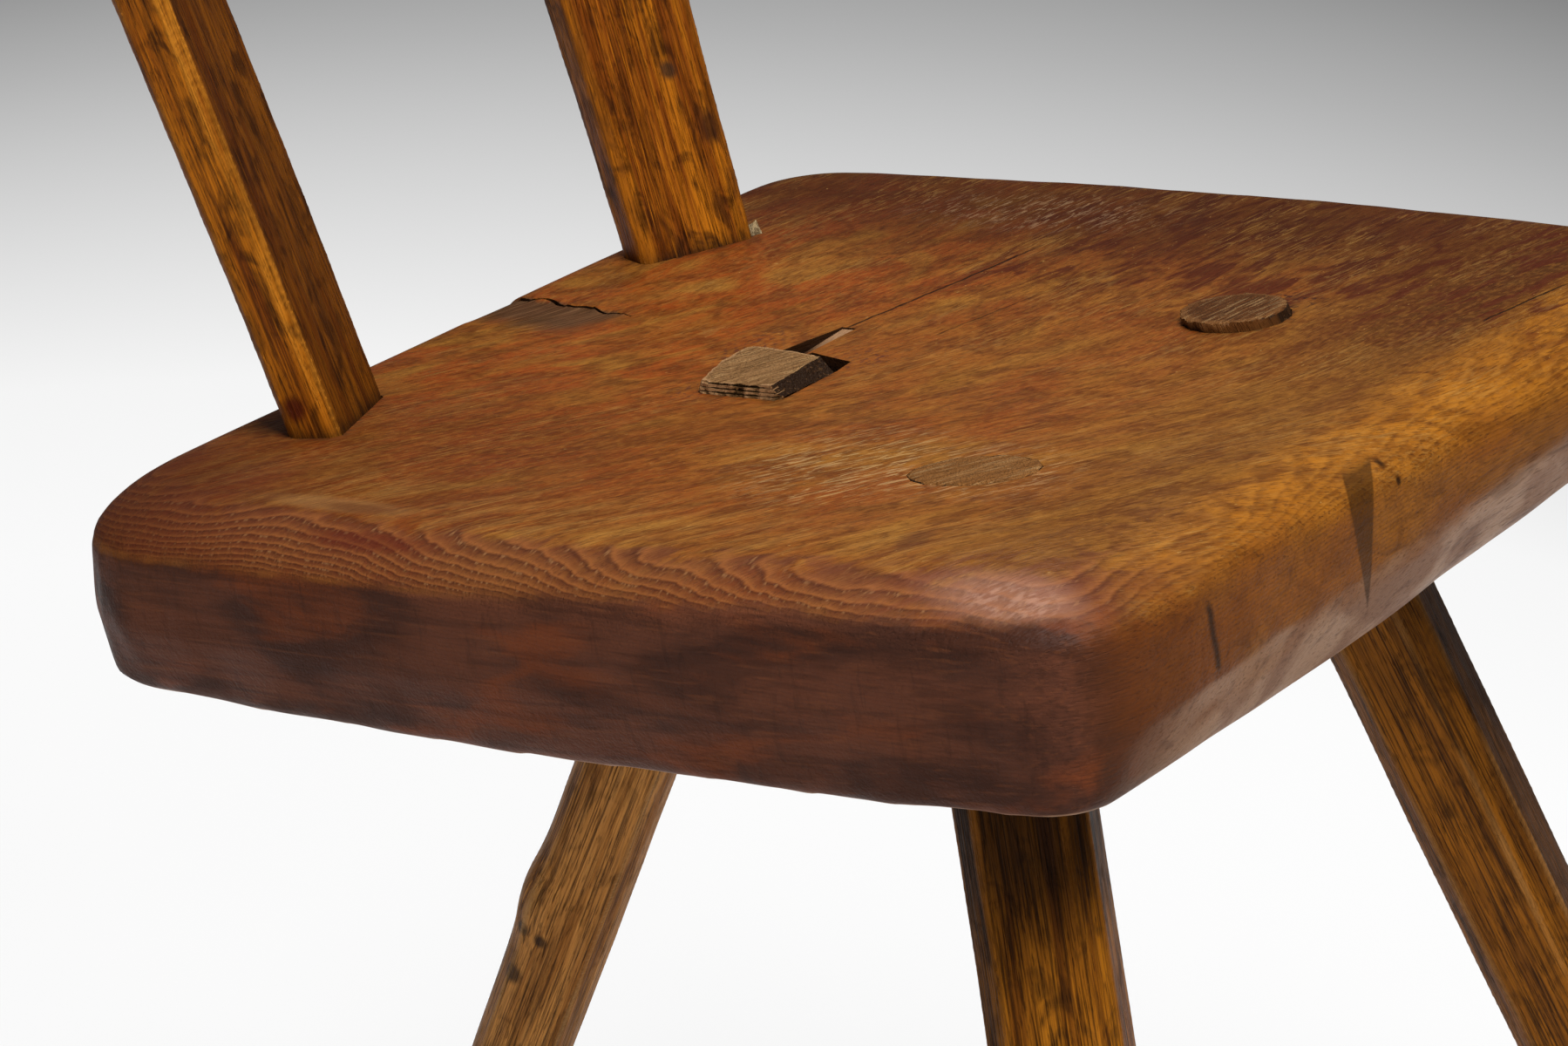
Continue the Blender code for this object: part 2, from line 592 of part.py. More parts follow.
def make_shim(parent, seat):
    """Thin wedge driven down between the left post's outer edge and its mortise."""
    frame = post_frame(LEFT_POST_FOOT, 1, LEFT_POST_TURN)

    def wedge(name, grow):
        height = SHIM_LENGTH + SHIM_PROUD
        size = (SHIM_TIP + 2 * grow, SHIM_WIDTH + 2 * grow, height + 2 * grow)
        spread = (SHIM_THICKNESS + 2 * grow) / size[0]
        mesh = cube_mesh(name, size, (0, 0, 0), (spread, 1))
        inner = LEFT_POST_FOOT_WIDTH / 2 + CLEARANCE - grow
        for vert in mesh.vertices:
            wide = SHIM_THICKNESS if vert.co.z > 0 else SHIM_TIP
            vert.co.x += inner + wide / 2 + grow
            vert.co.z += SHIM_PROUD - height / 2
        return mesh

    shim = wedge("left_post_shim", 0)
    add_piece("left_post_shim", shim, frame, parent, SHIM_COLOUR, SHIM_ROUGHNESS)
    slot = wedge("shim_slot", CLEARANCE)
    subtract(seat, add_cutter("left_post_shim_slot", slot, frame, parent))


def centre_on_floor(root):
    """Move the stool so that the middle of its bounding box is over the origin, with its feet at zero."""
    bpy.context.view_layer.update()
    graph = bpy.context.evaluated_depsgraph_get()
    corners = []
    for piece in STOOL.objects:
        if piece.type == "MESH":
            evaluated = piece.evaluated_get(graph)
            corners += [evaluated.matrix_world @ vert.co for vert in evaluated.data.vertices]
    for axis in range(2):
        values = [corner[axis] for corner in corners]
        root.location[axis] = -(min(values) + max(values)) / 2


def build():
    """Clear the scene and model the stool."""
    for item in list(bpy.data.objects):
        bpy.data.objects.remove(item)
    for collection in (STOOL, CUTTERS):
        bpy.context.scene.collection.children.link(collection)
    root = bpy.data.objects.new("tripod_stool", None)
    STOOL.objects.link(root)
    seat = make_seat(root)
    make_legs(root, seat)
    worn_mortise(root, seat)
    rail = make_rail(root)
    right_widths = (RIGHT_POST_FOOT_WIDTH, RIGHT_POST_HEAD_WIDTH)
    left_widths = (LEFT_POST_FOOT_WIDTH, LEFT_POST_HEAD_WIDTH)
    make_post("right_back_post", RIGHT_POST_FOOT, -1, RIGHT_POST_TURN, right_widths, root, seat, rail)
    make_post("left_back_post", LEFT_POST_FOOT, 1, LEFT_POST_TURN, left_widths, root, seat, rail)
    make_shim(root, seat)
    centre_on_floor(root)


build()
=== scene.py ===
"""Tripod back stool in a plain studio: worn, hewn pieces in waxed wood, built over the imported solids.

Metres. +Z is up, the stool faces -Y and +X is the sitter's left. Marks on the seat are placed in the seat's
own frame, which lies in the plank's top face and falls to the rear.
"""
import math
from functools import partial

import bmesh
import bpy
import numpy as np
from mathutils import Matrix, Vector, noise
from mathutils.bvhtree import BVHTree
from mathutils.geometry import convex_hull_2d


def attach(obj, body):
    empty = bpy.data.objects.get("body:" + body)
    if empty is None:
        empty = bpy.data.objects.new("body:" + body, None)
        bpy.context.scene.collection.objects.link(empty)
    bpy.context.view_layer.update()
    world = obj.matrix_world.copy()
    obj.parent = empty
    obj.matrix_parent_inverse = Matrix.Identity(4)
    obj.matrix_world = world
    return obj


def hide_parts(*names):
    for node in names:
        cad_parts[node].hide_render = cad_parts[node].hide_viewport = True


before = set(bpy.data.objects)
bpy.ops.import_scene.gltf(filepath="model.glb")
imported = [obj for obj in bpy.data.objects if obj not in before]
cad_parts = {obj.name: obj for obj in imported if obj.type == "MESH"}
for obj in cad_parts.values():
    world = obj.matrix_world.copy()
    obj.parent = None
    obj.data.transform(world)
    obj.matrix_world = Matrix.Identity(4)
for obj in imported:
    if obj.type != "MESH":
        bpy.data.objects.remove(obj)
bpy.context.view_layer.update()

MM = 0.001

# Seat frame
SEAT_PLACE = (-0.00359, -0.0328, 0.430)
SEAT_TURN = (math.radians(-5.0), 0, 0)
SEAT = Matrix.Translation(SEAT_PLACE) @ Matrix.Rotation(SEAT_TURN[0], 4, "X")
TO_SEAT = SEAT.inverted()
SEAT_UP = SEAT.to_3x3() @ Vector((0, 0, 1))
SEAT_REAR = SEAT.to_3x3() @ Vector((0, 1, 0))

# Camera at the photograph's viewing angle
CAMERA_PLACE = (-1.38218, -1.0014, 1.02634)
CAMERA_AZIMUTH = -53.737
CAMERA_ELEVATION = 20.973
CAMERA_ROLL = -2.509
CAMERA_LENS = 130.07
SENSOR_WIDTH = 36

# Floor: its radius, the direction in which it darkens, its shade's middle, bend and ends, and its glow
FLOOR_RADIUS = 9
FLOOR_SHADE_TURN = CAMERA_AZIMUTH - 9
FLOOR_SHADE_MIDDLE = -0.40
FLOOR_SHADE_BEND = 0.68
FLOOR_SHADE_START = 0.9
FLOOR_SHADE_END = 2.2
FLOOR_GLOW = 0.90

# What the lights aim at, and the strength of the surround's light
LIGHT_AIM = Vector((0, 0, 0.40))
SURROUND_LIGHT = 0.10

# Mesh spacing of the refined pieces, the angle of a sharp edge, and the fit of the mortises
SEAT_SPACING = 2.25 * MM
STICK_SPACING = 1.1 * MM
RAIL_SPACING = 1.6 * MM
PEG_SPACING = 0.5 * MM
SHARP_ANGLE = math.radians(38)
MORTISE_GAP = 0.3 * MM
TIGHT_MORTISE_GAP = 0.03 * MM

# Steps of smoothing, for the whole seat, its upper edge, its rubbed edges and the sticks
SEAT_SMOOTHING = 3
UPPER_SMOOTHING = 8
RUBBED_SMOOTHING = 45
STICK_SMOOTHING = 2
UPPER_DEPTH = 7 * MM
SHAFT_TOP = -8 * MM

# Rubbed edges of the seat, in the seat frame: where the wear starts, how it fades, and how strong it is
CORNER_WEAR_REACH = 0.105
CORNER_WEAR_EASE = 0.065
NEAR_WEAR_X = -0.130
NEAR_WEAR_REAR = 0.09
NEAR_WEAR_FADE = 0.20
NEAR_WEAR = 0.35
FRONT_WEAR_Y = -0.150
FRONT_WEAR = 0.45
EDGE_WEAR_EASE = 0.02
WEAR_FOOT = 0.042
WEAR_FOOT_EASE = 0.016

# Share of the points, in percent, past which an arris starts to be rubbed and is rubbed bright
WORN_PERCENT = (80, 94)

# How far dirt reaches from a joint; on the legs under the seat the darkening is also painted shade
SEAT_GRIME_REACH = 6 * MM
STICK_GRIME_AND_SHADE_REACH = 7 * MM

# Waves in hewn wood: their lengths along three axes, and their heights
PLANK_WAVES = (0.075, 0.055, 0.055)
PLANK_TOOL_MARKS = (0.028, 0.030, 0.016)
STICK_WAVES = (0.070, 0.020, 0.020)
STICK_TOOL_MARKS = (0.030, 0.006, 0.006)
COARSE_BREAKS = (0.0070, 0.0050, 0.0100)
FINE_BREAKS = (0.0022, 0.0018, 0.0050)
TOP_WAVE_RISE = 0.45 * MM
SIDE_WAVE_RISE = 0.8 * MM
SIDE_TOOL_RISE = 0.5 * MM
STICK_WAVE_RISE = 0.45 * MM
STICK_TOOL_RISE = 0.18 * MM
COARSE_BREAK_SHARE = 0.45
FINE_BREAK_SHARE = 0.40
FINE_BREAK_LOSS = 0.25
TOP_FACING = 0.6
TENON_END_DEPTH = 6 * MM

# Marks on the seat, in the seat frame
SLOT_START = Vector((-0.002, 0.0446, 0))
SLOT_END = Vector((0.0375, 0.0407, 0))
SLOT_START_WIDTH = 12.5 * MM
SLOT_END_WIDTH = 5.6 * MM
SLOT_NEAR_DEPTHS = (6.5 * MM, 0.35 * MM)
SLOT_FAR_DEPTHS = (7.5 * MM, 0.5 * MM)
GAP_INNER = -0.003
GAP_FRONT = ((GAP_INNER, 0.0170), (0.0072, 0.0182))
GAP_REAR = ((GAP_INNER, 0.0400), (0.0125, 0.0370))
GAP_DEPTH = 24 * MM
GAP_FOOT_SHARE = 0.6
CUT_ABOVE = 5 * MM
SCAR_EDGE_REAR = Vector((0.040, 0.180))
SCAR_EDGE_FRONT = Vector((0.031, 0.124))
SCAR_WIDTH = 28 * MM
SCAR_DEPTH = 0.9 * MM

# Head of the rear tenon, in the seat frame: its mesh, the swelling of its rear side, its cuts and its splits
HEAD_FOOT = -27 * MM
HEAD_SPACING = 0.9 * MM
HEAD_SWELL = 6.0 * MM
HEAD_SWELL_START = 0.024
HEAD_SWELL_LEFT = -0.036
HEAD_SWELL_REACH = 0.020
HEAD_SWELL_LEAST = 0.2
HEAD_LOW = -0.026
HEAD_HIGH = 0.012
FRONT_CUT_X = (-0.044, 0.006)
FRONT_CUT_Y = -0.020
FRONT_CUT_HIGH_Y = (0.0245, 0.0262)
FRONT_CUT_LOW_Y = (-0.0021, -0.0004)
INNER_CUT = ((-0.0100, 0.010), (0.010, 0.010), (-0.0010, 0.056), (0.010, 0.056))
INNER_CUT_SLANT = 0.012
TOP_CUT = ((-0.050, 0.004, 0.0046), (0.010, 0.004, 0.0062), (-0.050, 0.060, 0.0030), (0.010, 0.060, 0.0050))
TOP_CUT_HEIGHT = 0.004
SPLIT_OUTER = -0.050
SPLIT_INNER = -0.036
SPLIT_Y = (0.005, 0.056)
SPLITS = ((0.0005, 0.0006, 0.004), (0.0019, 0.0005, 0.007), (0.0033, 0.0006, 0.005))

# Coloured marks on the plank: the middle and the size of each, in the seat frame
CREASE_CORNER = ((-0.165, -0.165, -0.008), (0.080, 0.080, 0.060))
LOOP = ((-0.161, 0.092, 0), (0.008, 0.036, 0.010))
LOOP_HEART = ((-0.162, 0.083, 0), (0.005, 0.018, 0.010))
RED_LINE = ((-0.180, 0.066, -0.004), (0.006, 0.034, 0.010))
RUBBED_CORNER = ((-0.158, -0.140, -0.006), (0.030, 0.060, 0.020))
# Painted highlight on the near front corner's roll: a pale patch and its brighter heart
PAINTED_CORNER_HIGHLIGHT = ((-0.159, -0.150, -0.004), (0.017, 0.036, 0.016))
PAINTED_CORNER_HIGHLIGHT_HEART = ((-0.160, -0.153, -0.004), (0.011, 0.024, 0.012))
POLISHED_CORNER = ((-0.158, -0.156, -0.004), (0.050, 0.050, 0.030))
FAR_SCUFF = ((0.172, 0.055, 0), (0.030, 0.070, 0.02))
MIDDLE_SCUFF = ((-0.082, -0.042, 0), (0.050, 0.045, 0.02))
FLUSH_TENON_SCUFF = ((-0.077, -0.086, 0), (0.034, 0.042, 0.02))
SMALL_KNOT = ((-0.135, -0.103, 0), (0.012, 0.006, 0.02))
UPPER_WORM_HOLE = ((-0.0184, -0.1898, -0.0058), (0.0022, 0.0040, 0.0030))
LOWER_WORM_HOLE = ((-0.0161, -0.1946, -0.0123), (0.0018, 0.0040, 0.0026))
DIRT_BY_SLOT = ((0.012, 0.061, 0), (0.024, 0.012, 0.010))
DIRT_BY_GAP = ((0.010, 0.016, 0), (0.016, 0.014, 0.010))
DIRT_BY_REAR_TENON = ((-0.033, 0.048, 0), (0.014, 0.018, 0.010))
DIRT_BY_ROUND_TENON = ((0.101, -0.088, 0), (0.012, 0.020, 0.010))
SLOT_RAMP = ((0.030, 0.0405, -0.001), (0.022, 0.010, 0.010))

# Cracks in the plank: the start, the end and the width of each, in the seat frame. The check in the front face
# is placed in Z and X, the others in X and Y
FRONT_CHECK = ((-0.040, -0.1090), (-0.0170, -0.1140), 2.2 * MM)
SLOT_CRACK = ((0.038, 0.0415), (0.138, 0.0310), 0.75 * MM)
FRONT_CRACK = ((0.097, -0.1600), (0.142, -0.1670), 0.65 * MM)
MIDDLE_CRACK = ((0.039, 0.0070), (0.092, -0.0016), 0.55 * MM)

# Wedge-shaped check in the front face
WEDGE_MIDDLE = -0.0300
WEDGE_FACE = -0.188
WEDGE_LEAN = -1.36
WEDGE_HALF_WIDTH = 8.4 * MM
WEDGE_TAPER = 0.18
WEDGE_BLUR = 1.2 * MM

# The fibres bend towards the rear where they near the right edge
BEND_START = 0.02
BEND_EASE = 0.06
BEND_SLOPE = 0.5
GRAIN_SLOPE = 0.1

# Corner that is rubbed round: its place, and its roll's depth, width, reach, ease and curve
NEAR_CORNER = Vector((-0.170, -0.178))
ROLL_DEPTH = 13 * MM
ROLL_WIDTH = 38 * MM
ROLL_REACH = 0.120
ROLL_EASE = 0.75
ROLL_CURVE = 1.7

# Wax over wood
WAX_IOR = 1.47
PLANK_SPECULAR = 0.08
STICK_SPECULAR = 0.09

# Setting for a share that eases in and out, and the part of a spot that it covers fully
EASED = dict(interpolation_type="SMOOTHSTEP")
SPOT_CORE = 0.35

# Growth layers of the plank: their thickness, and how far they dip, slope, swell and ripple
LAYER = 3.0 * MM
LAYER_RISE = 2.2
LAYER_CROWN = -0.020
LAYER_CROWN_WIDTH = 0.020
LAYER_DIP = 0.20
LAYER_SLOPE = -0.04
LAYER_SWELL = 4.5 * MM
LAYER_RIPPLE = 0.9 * MM

# Upper end of the shim
SHIM_LEAN = Vector((2.5 * MM, 1.0 * MM))
SHIM_TAPER = 0.85

# Knot on the rear leg
REAR_LEG_KNOT = Vector((-0.046, 0.098, 0.236))
REAR_LEG_KNOT_RISE = 3.2 * MM
REAR_LEG_KNOT_REACH = 20 * MM


def linear(hex_colour):
    """Linear RGBA of an sRGB hex colour."""
    channels = [int(hex_colour[i:i + 2], 16) / 255 for i in (1, 3, 5)]
    curve = [c / 12.92 if c <= 0.04045 else ((c + 0.055) / 1.055) ** 2.4 for c in channels]
    return (*curve, 1)


def add(tree, kind, wires=None, stops=None, **settings):
    """Add a shader node, set its fields and colour stops, and fill or link its inputs."""
    made = tree.nodes.new("ShaderNode" + kind)
    for field, value in settings.items():
        setattr(made, field, value)
    for key, value in (wires or {}).items():
        named = (s for s in made.inputs if s.name == key and s.enabled)
        target = made.inputs[key] if isinstance(key, int) else next(named)
        if isinstance(value, bpy.types.Node):
            value = next(s for s in value.outputs if s.enabled)
        if isinstance(value, bpy.types.NodeSocket):
            tree.links.new(value, target)
        else:
            target.default_value = value
    if stops:
        ramp = made.color_ramp.elements
        while len(ramp) < len(stops):
            ramp.new(0.5)
        for element, (position, colour) in zip(ramp, stops):
            element.position = position
            element.color = linear(colour)
    return made


def new_material(name, specular):
    """Wood under thin wax: a typical index of refraction, and a gloss dulled by open pores."""
    material = bpy.data.materials.new(name)
    material.use_nodes = True
    tree = material.node_tree
    shader = tree.nodes["Principled BSDF"]
    shader.inputs["IOR"].default_value = WAX_IOR
    shader.inputs["Specular IOR Level"].default_value = specular
    return material, tree, shader


def flecks(tree, coords, length, width, low, high, detail=2.0, distortion=0.0):
    """Share covered by flecks of a real length along the grain and a real width across it."""
    scaled = add(tree, "VectorMath", {0: coords, 1: (1 / length, 1 / width, 1 / width)}, operation="MULTIPLY")
    cloud = add(tree, "TexNoise", {"Vector": scaled, "Scale": 1.0, "Detail": detail,
                                   "Distortion": distortion})
    return add(tree, "MapRange", {"Value": cloud, "From Min": low, "From Max": high}, **EASED)


def zone(tree, coords, axis, start, end):
    """Share that rises from none at one place along an axis to all at another."""
    axes = add(tree, "SeparateXYZ", {0: coords})
    return add(tree, "MapRange", {"Value": axes.outputs[axis], "From Min": start, "From Max": end}, **EASED)


def facing(tree, direction, start, end):
    """Share that rises with how squarely the surface faces a direction."""
    surface = add(tree, "NewGeometry")
    square = add(tree, "VectorMath", {0: surface.outputs["Normal"], 1: direction}, operation="DOT_PRODUCT")
    return add(tree, "MapRange", {"Value": square, "From Min": start, "From Max": end}, **EASED)


def spot(tree, coords, place, size):
    """Share that falls from all at a place to none on an ellipsoid of a size round it."""
    moved = add(tree, "VectorMath", {0: coords, 1: place}, operation="SUBTRACT")
    scaled = add(tree, "VectorMath", {0: moved, 1: [1 / s for s in size]}, operation="MULTIPLY")
    far = add(tree, "VectorMath", {0: scaled}, operation="LENGTH")
    return add(tree, "MapRange", {"Value": far, "From Min": 1.0, "From Max": SPOT_CORE}, **EASED)


def crack(tree, coords, start, end, width):
    """Share along a wandering hairline crack from one place to another, which differ most in X."""
    slope = (end[1] - start[1]) / (end[0] - start[0])
    length = end[0] - start[0]
    wander = 2.4 * MM
    bend_length = 9 * MM
    offset = start[1] - slope * start[0] - wander / 2
    x, y, _ = add(tree, "SeparateXYZ", {0: coords}).outputs
    along = add(tree, "CombineXYZ", {"X": x})
    drift = add(tree, "TexNoise", {"Vector": along, "Scale": 1 / bend_length, "Detail": 3.0})
    line = add(tree, "Math", {0: x, 1: slope, 2: offset}, operation="MULTIPLY_ADD")
    line = add(tree, "Math", {0: drift, 1: wander, 2: line}, operation="MULTIPLY_ADD")
    off = add(tree, "Math", {0: y, 1: line}, operation="SUBTRACT")
    off = add(tree, "Math", {0: off}, operation="ABSOLUTE")
    near = add(tree, "MapRange", {"Value": off, "From Min": width, "From Max": 0.2 * width})
    begun = zone(tree, coords, "X", start[0] - 2 * MM, start[0] + 2 * MM)
    ended = zone(tree, coords, "X", end[0] + 0.05 * length, end[0] - 0.15 * length)
    near = add(tree, "Math", {0: near, 1: begun}, operation="MULTIPLY")
    return add(tree, "Math", {0: near, 1: ended}, operation="MULTIPLY")


def stain(tree, base, coats):
    """Lay coats over a base: each has a colour, a strength and the shares of the surface that it covers."""
    colour = linear(base) if isinstance(base, str) else base
    for coat, strength, *shares in coats:
        cover = shares[0]
        for share in shares[1:]:
            cover = add(tree, "Math", {0: cover, 1: share}, operation="MULTIPLY")
        cover = add(tree, "Math", {0: cover, 1: strength}, operation="MULTIPLY")
        over = linear(coat) if isinstance(coat, str) else coat
        colour = add(tree, "Mix", {"Factor": cover, "A": colour, "B": over}, data_type="RGBA")
    return colour


def layered_sum(tree, base, terms):
    """Add weighted patterns to a base number."""
    total = base
    for weight, pattern in terms:
        total = add(tree, "Math", {0: pattern, 1: weight, 2: total}, operation="MULTIPLY_ADD")
    return total


def stored(tree, *names):
    """Numbers stored on the points of a piece."""
    return [add(tree, "Attribute", attribute_name=name).outputs["Fac"] for name in names]


def seat_coordinates(tree):
    """Coordinates in the seat frame, with X along the plank's grain."""
    place = add(tree, "TexCoord")
    return add(tree, "Mapping", {"Vector": place.outputs["Object"], "Location": SEAT_PLACE,
                                 "Rotation": SEAT_TURN}, vector_type="TEXTURE")


def wedge_check(tree, seat):
    """Share of a dark check in the front face that narrows to a point as it goes down."""
    x, y, z = add(tree, "SeparateXYZ", {0: seat}).outputs
    leaning = layered_sum(tree, x, [(WEDGE_LEAN, y)])
    off = add(tree, "Math", {0: leaning, 1: WEDGE_MIDDLE + WEDGE_LEAN * WEDGE_FACE}, operation="SUBTRACT")
    off = add(tree, "Math", {0: off}, operation="ABSOLUTE")
    off = layered_sum(tree, off, [(-WEDGE_TAPER, z)])
    return add(tree, "MapRange", {"Value": off, "From Min": WEDGE_HALF_WIDTH + WEDGE_BLUR,
                                  "From Max": WEDGE_HALF_WIDTH}, **EASED)


def bent_grain(tree, seat):
    """Seat coordinates sheared so that X follows the fibres, which bend to the rear by the right edge."""
    x, y, z = add(tree, "SeparateXYZ", {0: seat}).outputs
    past = add(tree, "Math", {0: x, 1: BEND_START}, operation="SUBTRACT")
    past = add(tree, "Math", {0: past, 1: 0.0, 2: BEND_EASE}, operation="SMOOTH_MIN")
    across = layered_sum(tree, y, [(BEND_SLOPE, past), (GRAIN_SLOPE, x)])
    return add(tree, "CombineXYZ", {"X": x, "Y": across, "Z": z})


def growth_layers(tree, grain):
    """Pale and dark edges of the plank's growth layers, which the worn shoulders cut into contour lines."""
    x, y, z = add(tree, "SeparateXYZ", {0: grain}).outputs
    across = add(tree, "Math", {0: y, 1: LAYER_CROWN}, operation="SUBTRACT")
    across = add(tree, "Math", {0: across, 1: across, 2: LAYER_CROWN_WIDTH ** 2}, operation="MULTIPLY_ADD")
    dip = add(tree, "Math", {0: across}, operation="SQRT")
    swell = flecks(tree, grain, 80 * MM, 45 * MM, 0.2, 0.8, 1.0)
    ripple = flecks(tree, grain, 14 * MM, 6 * MM, 0.2, 0.8, 2.0)
    depth = layered_sum(tree, 0.0, [
        (LAYER_RISE, z), (LAYER_DIP, dip), (LAYER_SLOPE, x), (LAYER_SWELL, swell), (LAYER_RIPPLE, ripple)])
    layer = add(tree, "Math", {0: depth, 1: 1 / LAYER}, operation="MULTIPLY")
    layer = add(tree, "Math", {0: layer}, operation="FRACT")
    pale = add(tree, "ValToRGB", {0: layer}, stops=[
        (0.0, "#ffffff"), (0.16, "#b0b0b0"), (0.40, "#000000"), (0.80, "#000000"), (1.0, "#ffffff")])
    dark = add(tree, "ValToRGB", {0: layer}, stops=[
        (0.24, "#000000"), (0.52, "#6a6a6a"), (0.74, "#ffffff"), (0.92, "#000000")])
    return pale, dark


def waxed_elm_plank():
    """Old elm plank, hewn and waxed: growth layers cut by worn shoulders, open pores and dark ends."""
    material, tree, shader = new_material("waxed_elm_plank", PLANK_SPECULAR)
    seat = seat_coordinates(tree)
    grain = bent_grain(tree, seat)
    edgewise = add(tree, "Mapping", {"Vector": seat, "Rotation": (0, 0, math.pi / 2)})
    pale_layer, dark_layer = growth_layers(tree, grain)
    along_grain = partial(flecks, tree, grain)
    along_edge = partial(flecks, tree, edgewise)
    over_seat = partial(flecks, tree, seat)
    mark = partial(spot, tree, seat)
    between = partial(zone, tree, seat)
    upward = partial(facing, tree, SEAT_UP)

    # Patches, streaks and pores. The pores and fibres are drawn coarser than life, so that they show
    patch = along_grain(60 * MM, 40 * MM, 0.40, 0.62, 3.0, 0.6)
    red = along_grain(46 * MM, 28 * MM, 0.38, 0.60, 4.0, 0.9)
    streak = along_grain(40 * MM, 6 * MM, 0.50, 0.70, 5.0, 1.0)
    flame = along_grain(30 * MM, 9 * MM, 0.48, 0.60, 5.0, 1.2)
    mottle = along_grain(18 * MM, 13 * MM, 0.40, 0.64, 6.0, 1.3)
    speckle = along_grain(3.4 * MM, 2 * MM, 0.43, 0.65, 5.0)
    grit = over_seat(2.6 * MM, 2 * MM, 0.50, 0.66, 4.0)
    fibre = along_grain(24 * MM, 0.9 * MM, 0.30, 0.70, 4.0)
    pore = along_grain(6 * MM, 0.7 * MM, 0.56, 0.68, 2.0)
    pale_fibre = along_grain(16 * MM, 1.1 * MM, 0.54, 0.70, 5.0, 0.5)
    bare_patch = along_grain(60 * MM, 30 * MM, 0.46, 0.62, 2.0)
    speck = along_grain(2.4 * MM, 1.2 * MM, 0.70, 0.78)
    scuff = along_grain(9 * MM, 1.8 * MM, 0.52, 0.64, 5.0, 1.4)
    blotch = over_seat(30 * MM, 24 * MM, 0.40, 0.62, 5.0, 0.6)
    ticks = along_edge(1.3 * MM, 6 * MM, 0.52, 0.66, 2.0)
    dash = along_grain(4 * MM, 0.7 * MM, 0.52, 0.66, 3.0)

    # Parts of the plank. The near shoulder ends in a crease that climbs to the front
    edge, torn, grime_and_shade, sunk = stored(tree, "edge", "torn", "grime_and_shade", "sunk")
    ragged_edge = layered_sum(tree, edge, [(-9 * MM, blotch), (-5 * MM, mottle)])
    shoulder = add(tree, "MapRange", {"Value": ragged_edge, "From Min": 24 * MM,
                                      "From Max": 12 * MM}, **EASED)
    x, y, z = add(tree, "SeparateXYZ", {0: seat}).outputs
    corner = mark(*CREASE_CORNER)
    near_drop = layered_sum(tree, z, [
        (0.023, y), (1.5 * MM, blotch), (1.0 * MM, mottle), (2.5 * MM, corner)])
    below_crease = add(tree, "MapRange", {"Value": near_drop, "From Min": -6.5 * MM,
                                          "From Max": -10.5 * MM}, **EASED)
    front_drop = layered_sum(tree, z, [(5 * MM, blotch), (3 * MM, mottle)])
    below_roll = add(tree, "MapRange", {"Value": front_drop, "From Min": 0.0, "From Max": -13 * MM}, **EASED)
    side = upward(0.60, 0.16)
    near_end = facing(tree, (-1, 0, 0), 0.45, 0.85)
    far_end = facing(tree, (1, 0, 0), 0.50, 0.80)
    front = between("Y", -0.075, -0.150)
    front_edge = between("Y", -0.155, -0.180)
    rear = between("Y", -0.02, 0.09)
    behind_corner = between("Y", -0.186, -0.170)
    right = between("X", -0.02, -0.10)
    right_edge = between("X", -0.105, -0.150)
    left = between("X", 0.02, 0.10)

    # Top: red-brown at the rear, olive brown in the middle, darker to the sides in painted shade, and golden
    # along the front
    colour = stain(tree, "#8c4e19", [
        ("#9c6826", 0.85, patch),
        ("#a84c15", 0.80, red, rear),
        ("#7e3810", 0.55, red),
        ("#7b4e18", 0.85, front),
        # Painted shade: the near rear and the far front of the top darker
        ("#5c2a0d", 0.60, right, rear),
        ("#48260a", 0.92, front, left),
        ("#a86715", 0.85, front_edge),
        ("#542708", 0.64, mottle),
        ("#a56c2a", 0.28, speckle),
        ("#4e240b", 0.26, grit),
        ("#5a2a0c", 0.18, streak),
        ("#4a220b", 0.12, fibre),
        ("#4f1c0a", 0.85, flame, between("X", 0.055, 0.115), between("Y", 0.085, 0.02)),
        # Painted shade: the far front of the top darker still
        ("#3c1807", 0.78, between("X", 0.08, 0.18), between("Y", -0.17, -0.08)),
        ("#9c6f36", 0.30, pale_layer, right_edge),
        ("#5a2c0e", 0.30, dark_layer, right_edge),
        ("#a86f26", 0.30, pale_layer, front_edge),
        ("#63390f", 0.38, dark_layer, front_edge),
        ("#3e1d09", 0.45, pore),
        ("#3a1a08", 0.28, dash),
        ("#a87a38", 0.12, pale_fibre),
        ("#b0823e", 0.26, pale_fibre, bare_patch),
        ("#a87e42", 0.22, scuff, bare_patch),
        ("#bd9250", 0.50, speck)])

    # Right shoulder: mauve brown, partly its stain and partly a painted sheen, with layers that run along the
    # edge and comb-like pores across them
    colour = stain(tree, colour, [
        ("#643521", 0.68, shoulder, right_edge, behind_corner),
        ("#9c5c2d", 0.46, pale_layer, shoulder, right_edge, behind_corner),
        ("#3a1b10", 0.52, dark_layer, shoulder, right_edge, behind_corner),
        ("#b07f50", 0.42, ticks, shoulder, right_edge, dark_layer),
        ("#4c2012", 0.55, between("Y", 0.090, 0.160), right_edge),
        ("#93693c", 0.50, mark(*LOOP)),
        ("#5a2f16", 0.60, mark(*LOOP_HEART)),
        ("#571c12", 0.55, mark(*RED_LINE)),
        ("#6e3a24", 0.55, mark(*RUBBED_CORNER), mottle),
        # Painted highlight: a pale, pinkish glint on the near front corner's roll
        ("#b0816a", 0.34, mark(*PAINTED_CORNER_HIGHLIGHT)),
        ("#bf9580", 0.34, mark(*PAINTED_CORNER_HIGHLIGHT_HEART), speckle)])

    # Bare scuffs by the far edge, in front of the rear tenon and over the flush tenon
    colour = stain(tree, colour, [
        ("#a58462", 0.40, scuff, mark(*FAR_SCUFF)),
        ("#bd9a66", 0.50, scuff, mark(*MIDDLE_SCUFF)),
        ("#b2895a", 0.60, scuff, mark(*FLUSH_TENON_SCUFF)),
        ("#4b2313", 0.60, mark(*SMALL_KNOT))])

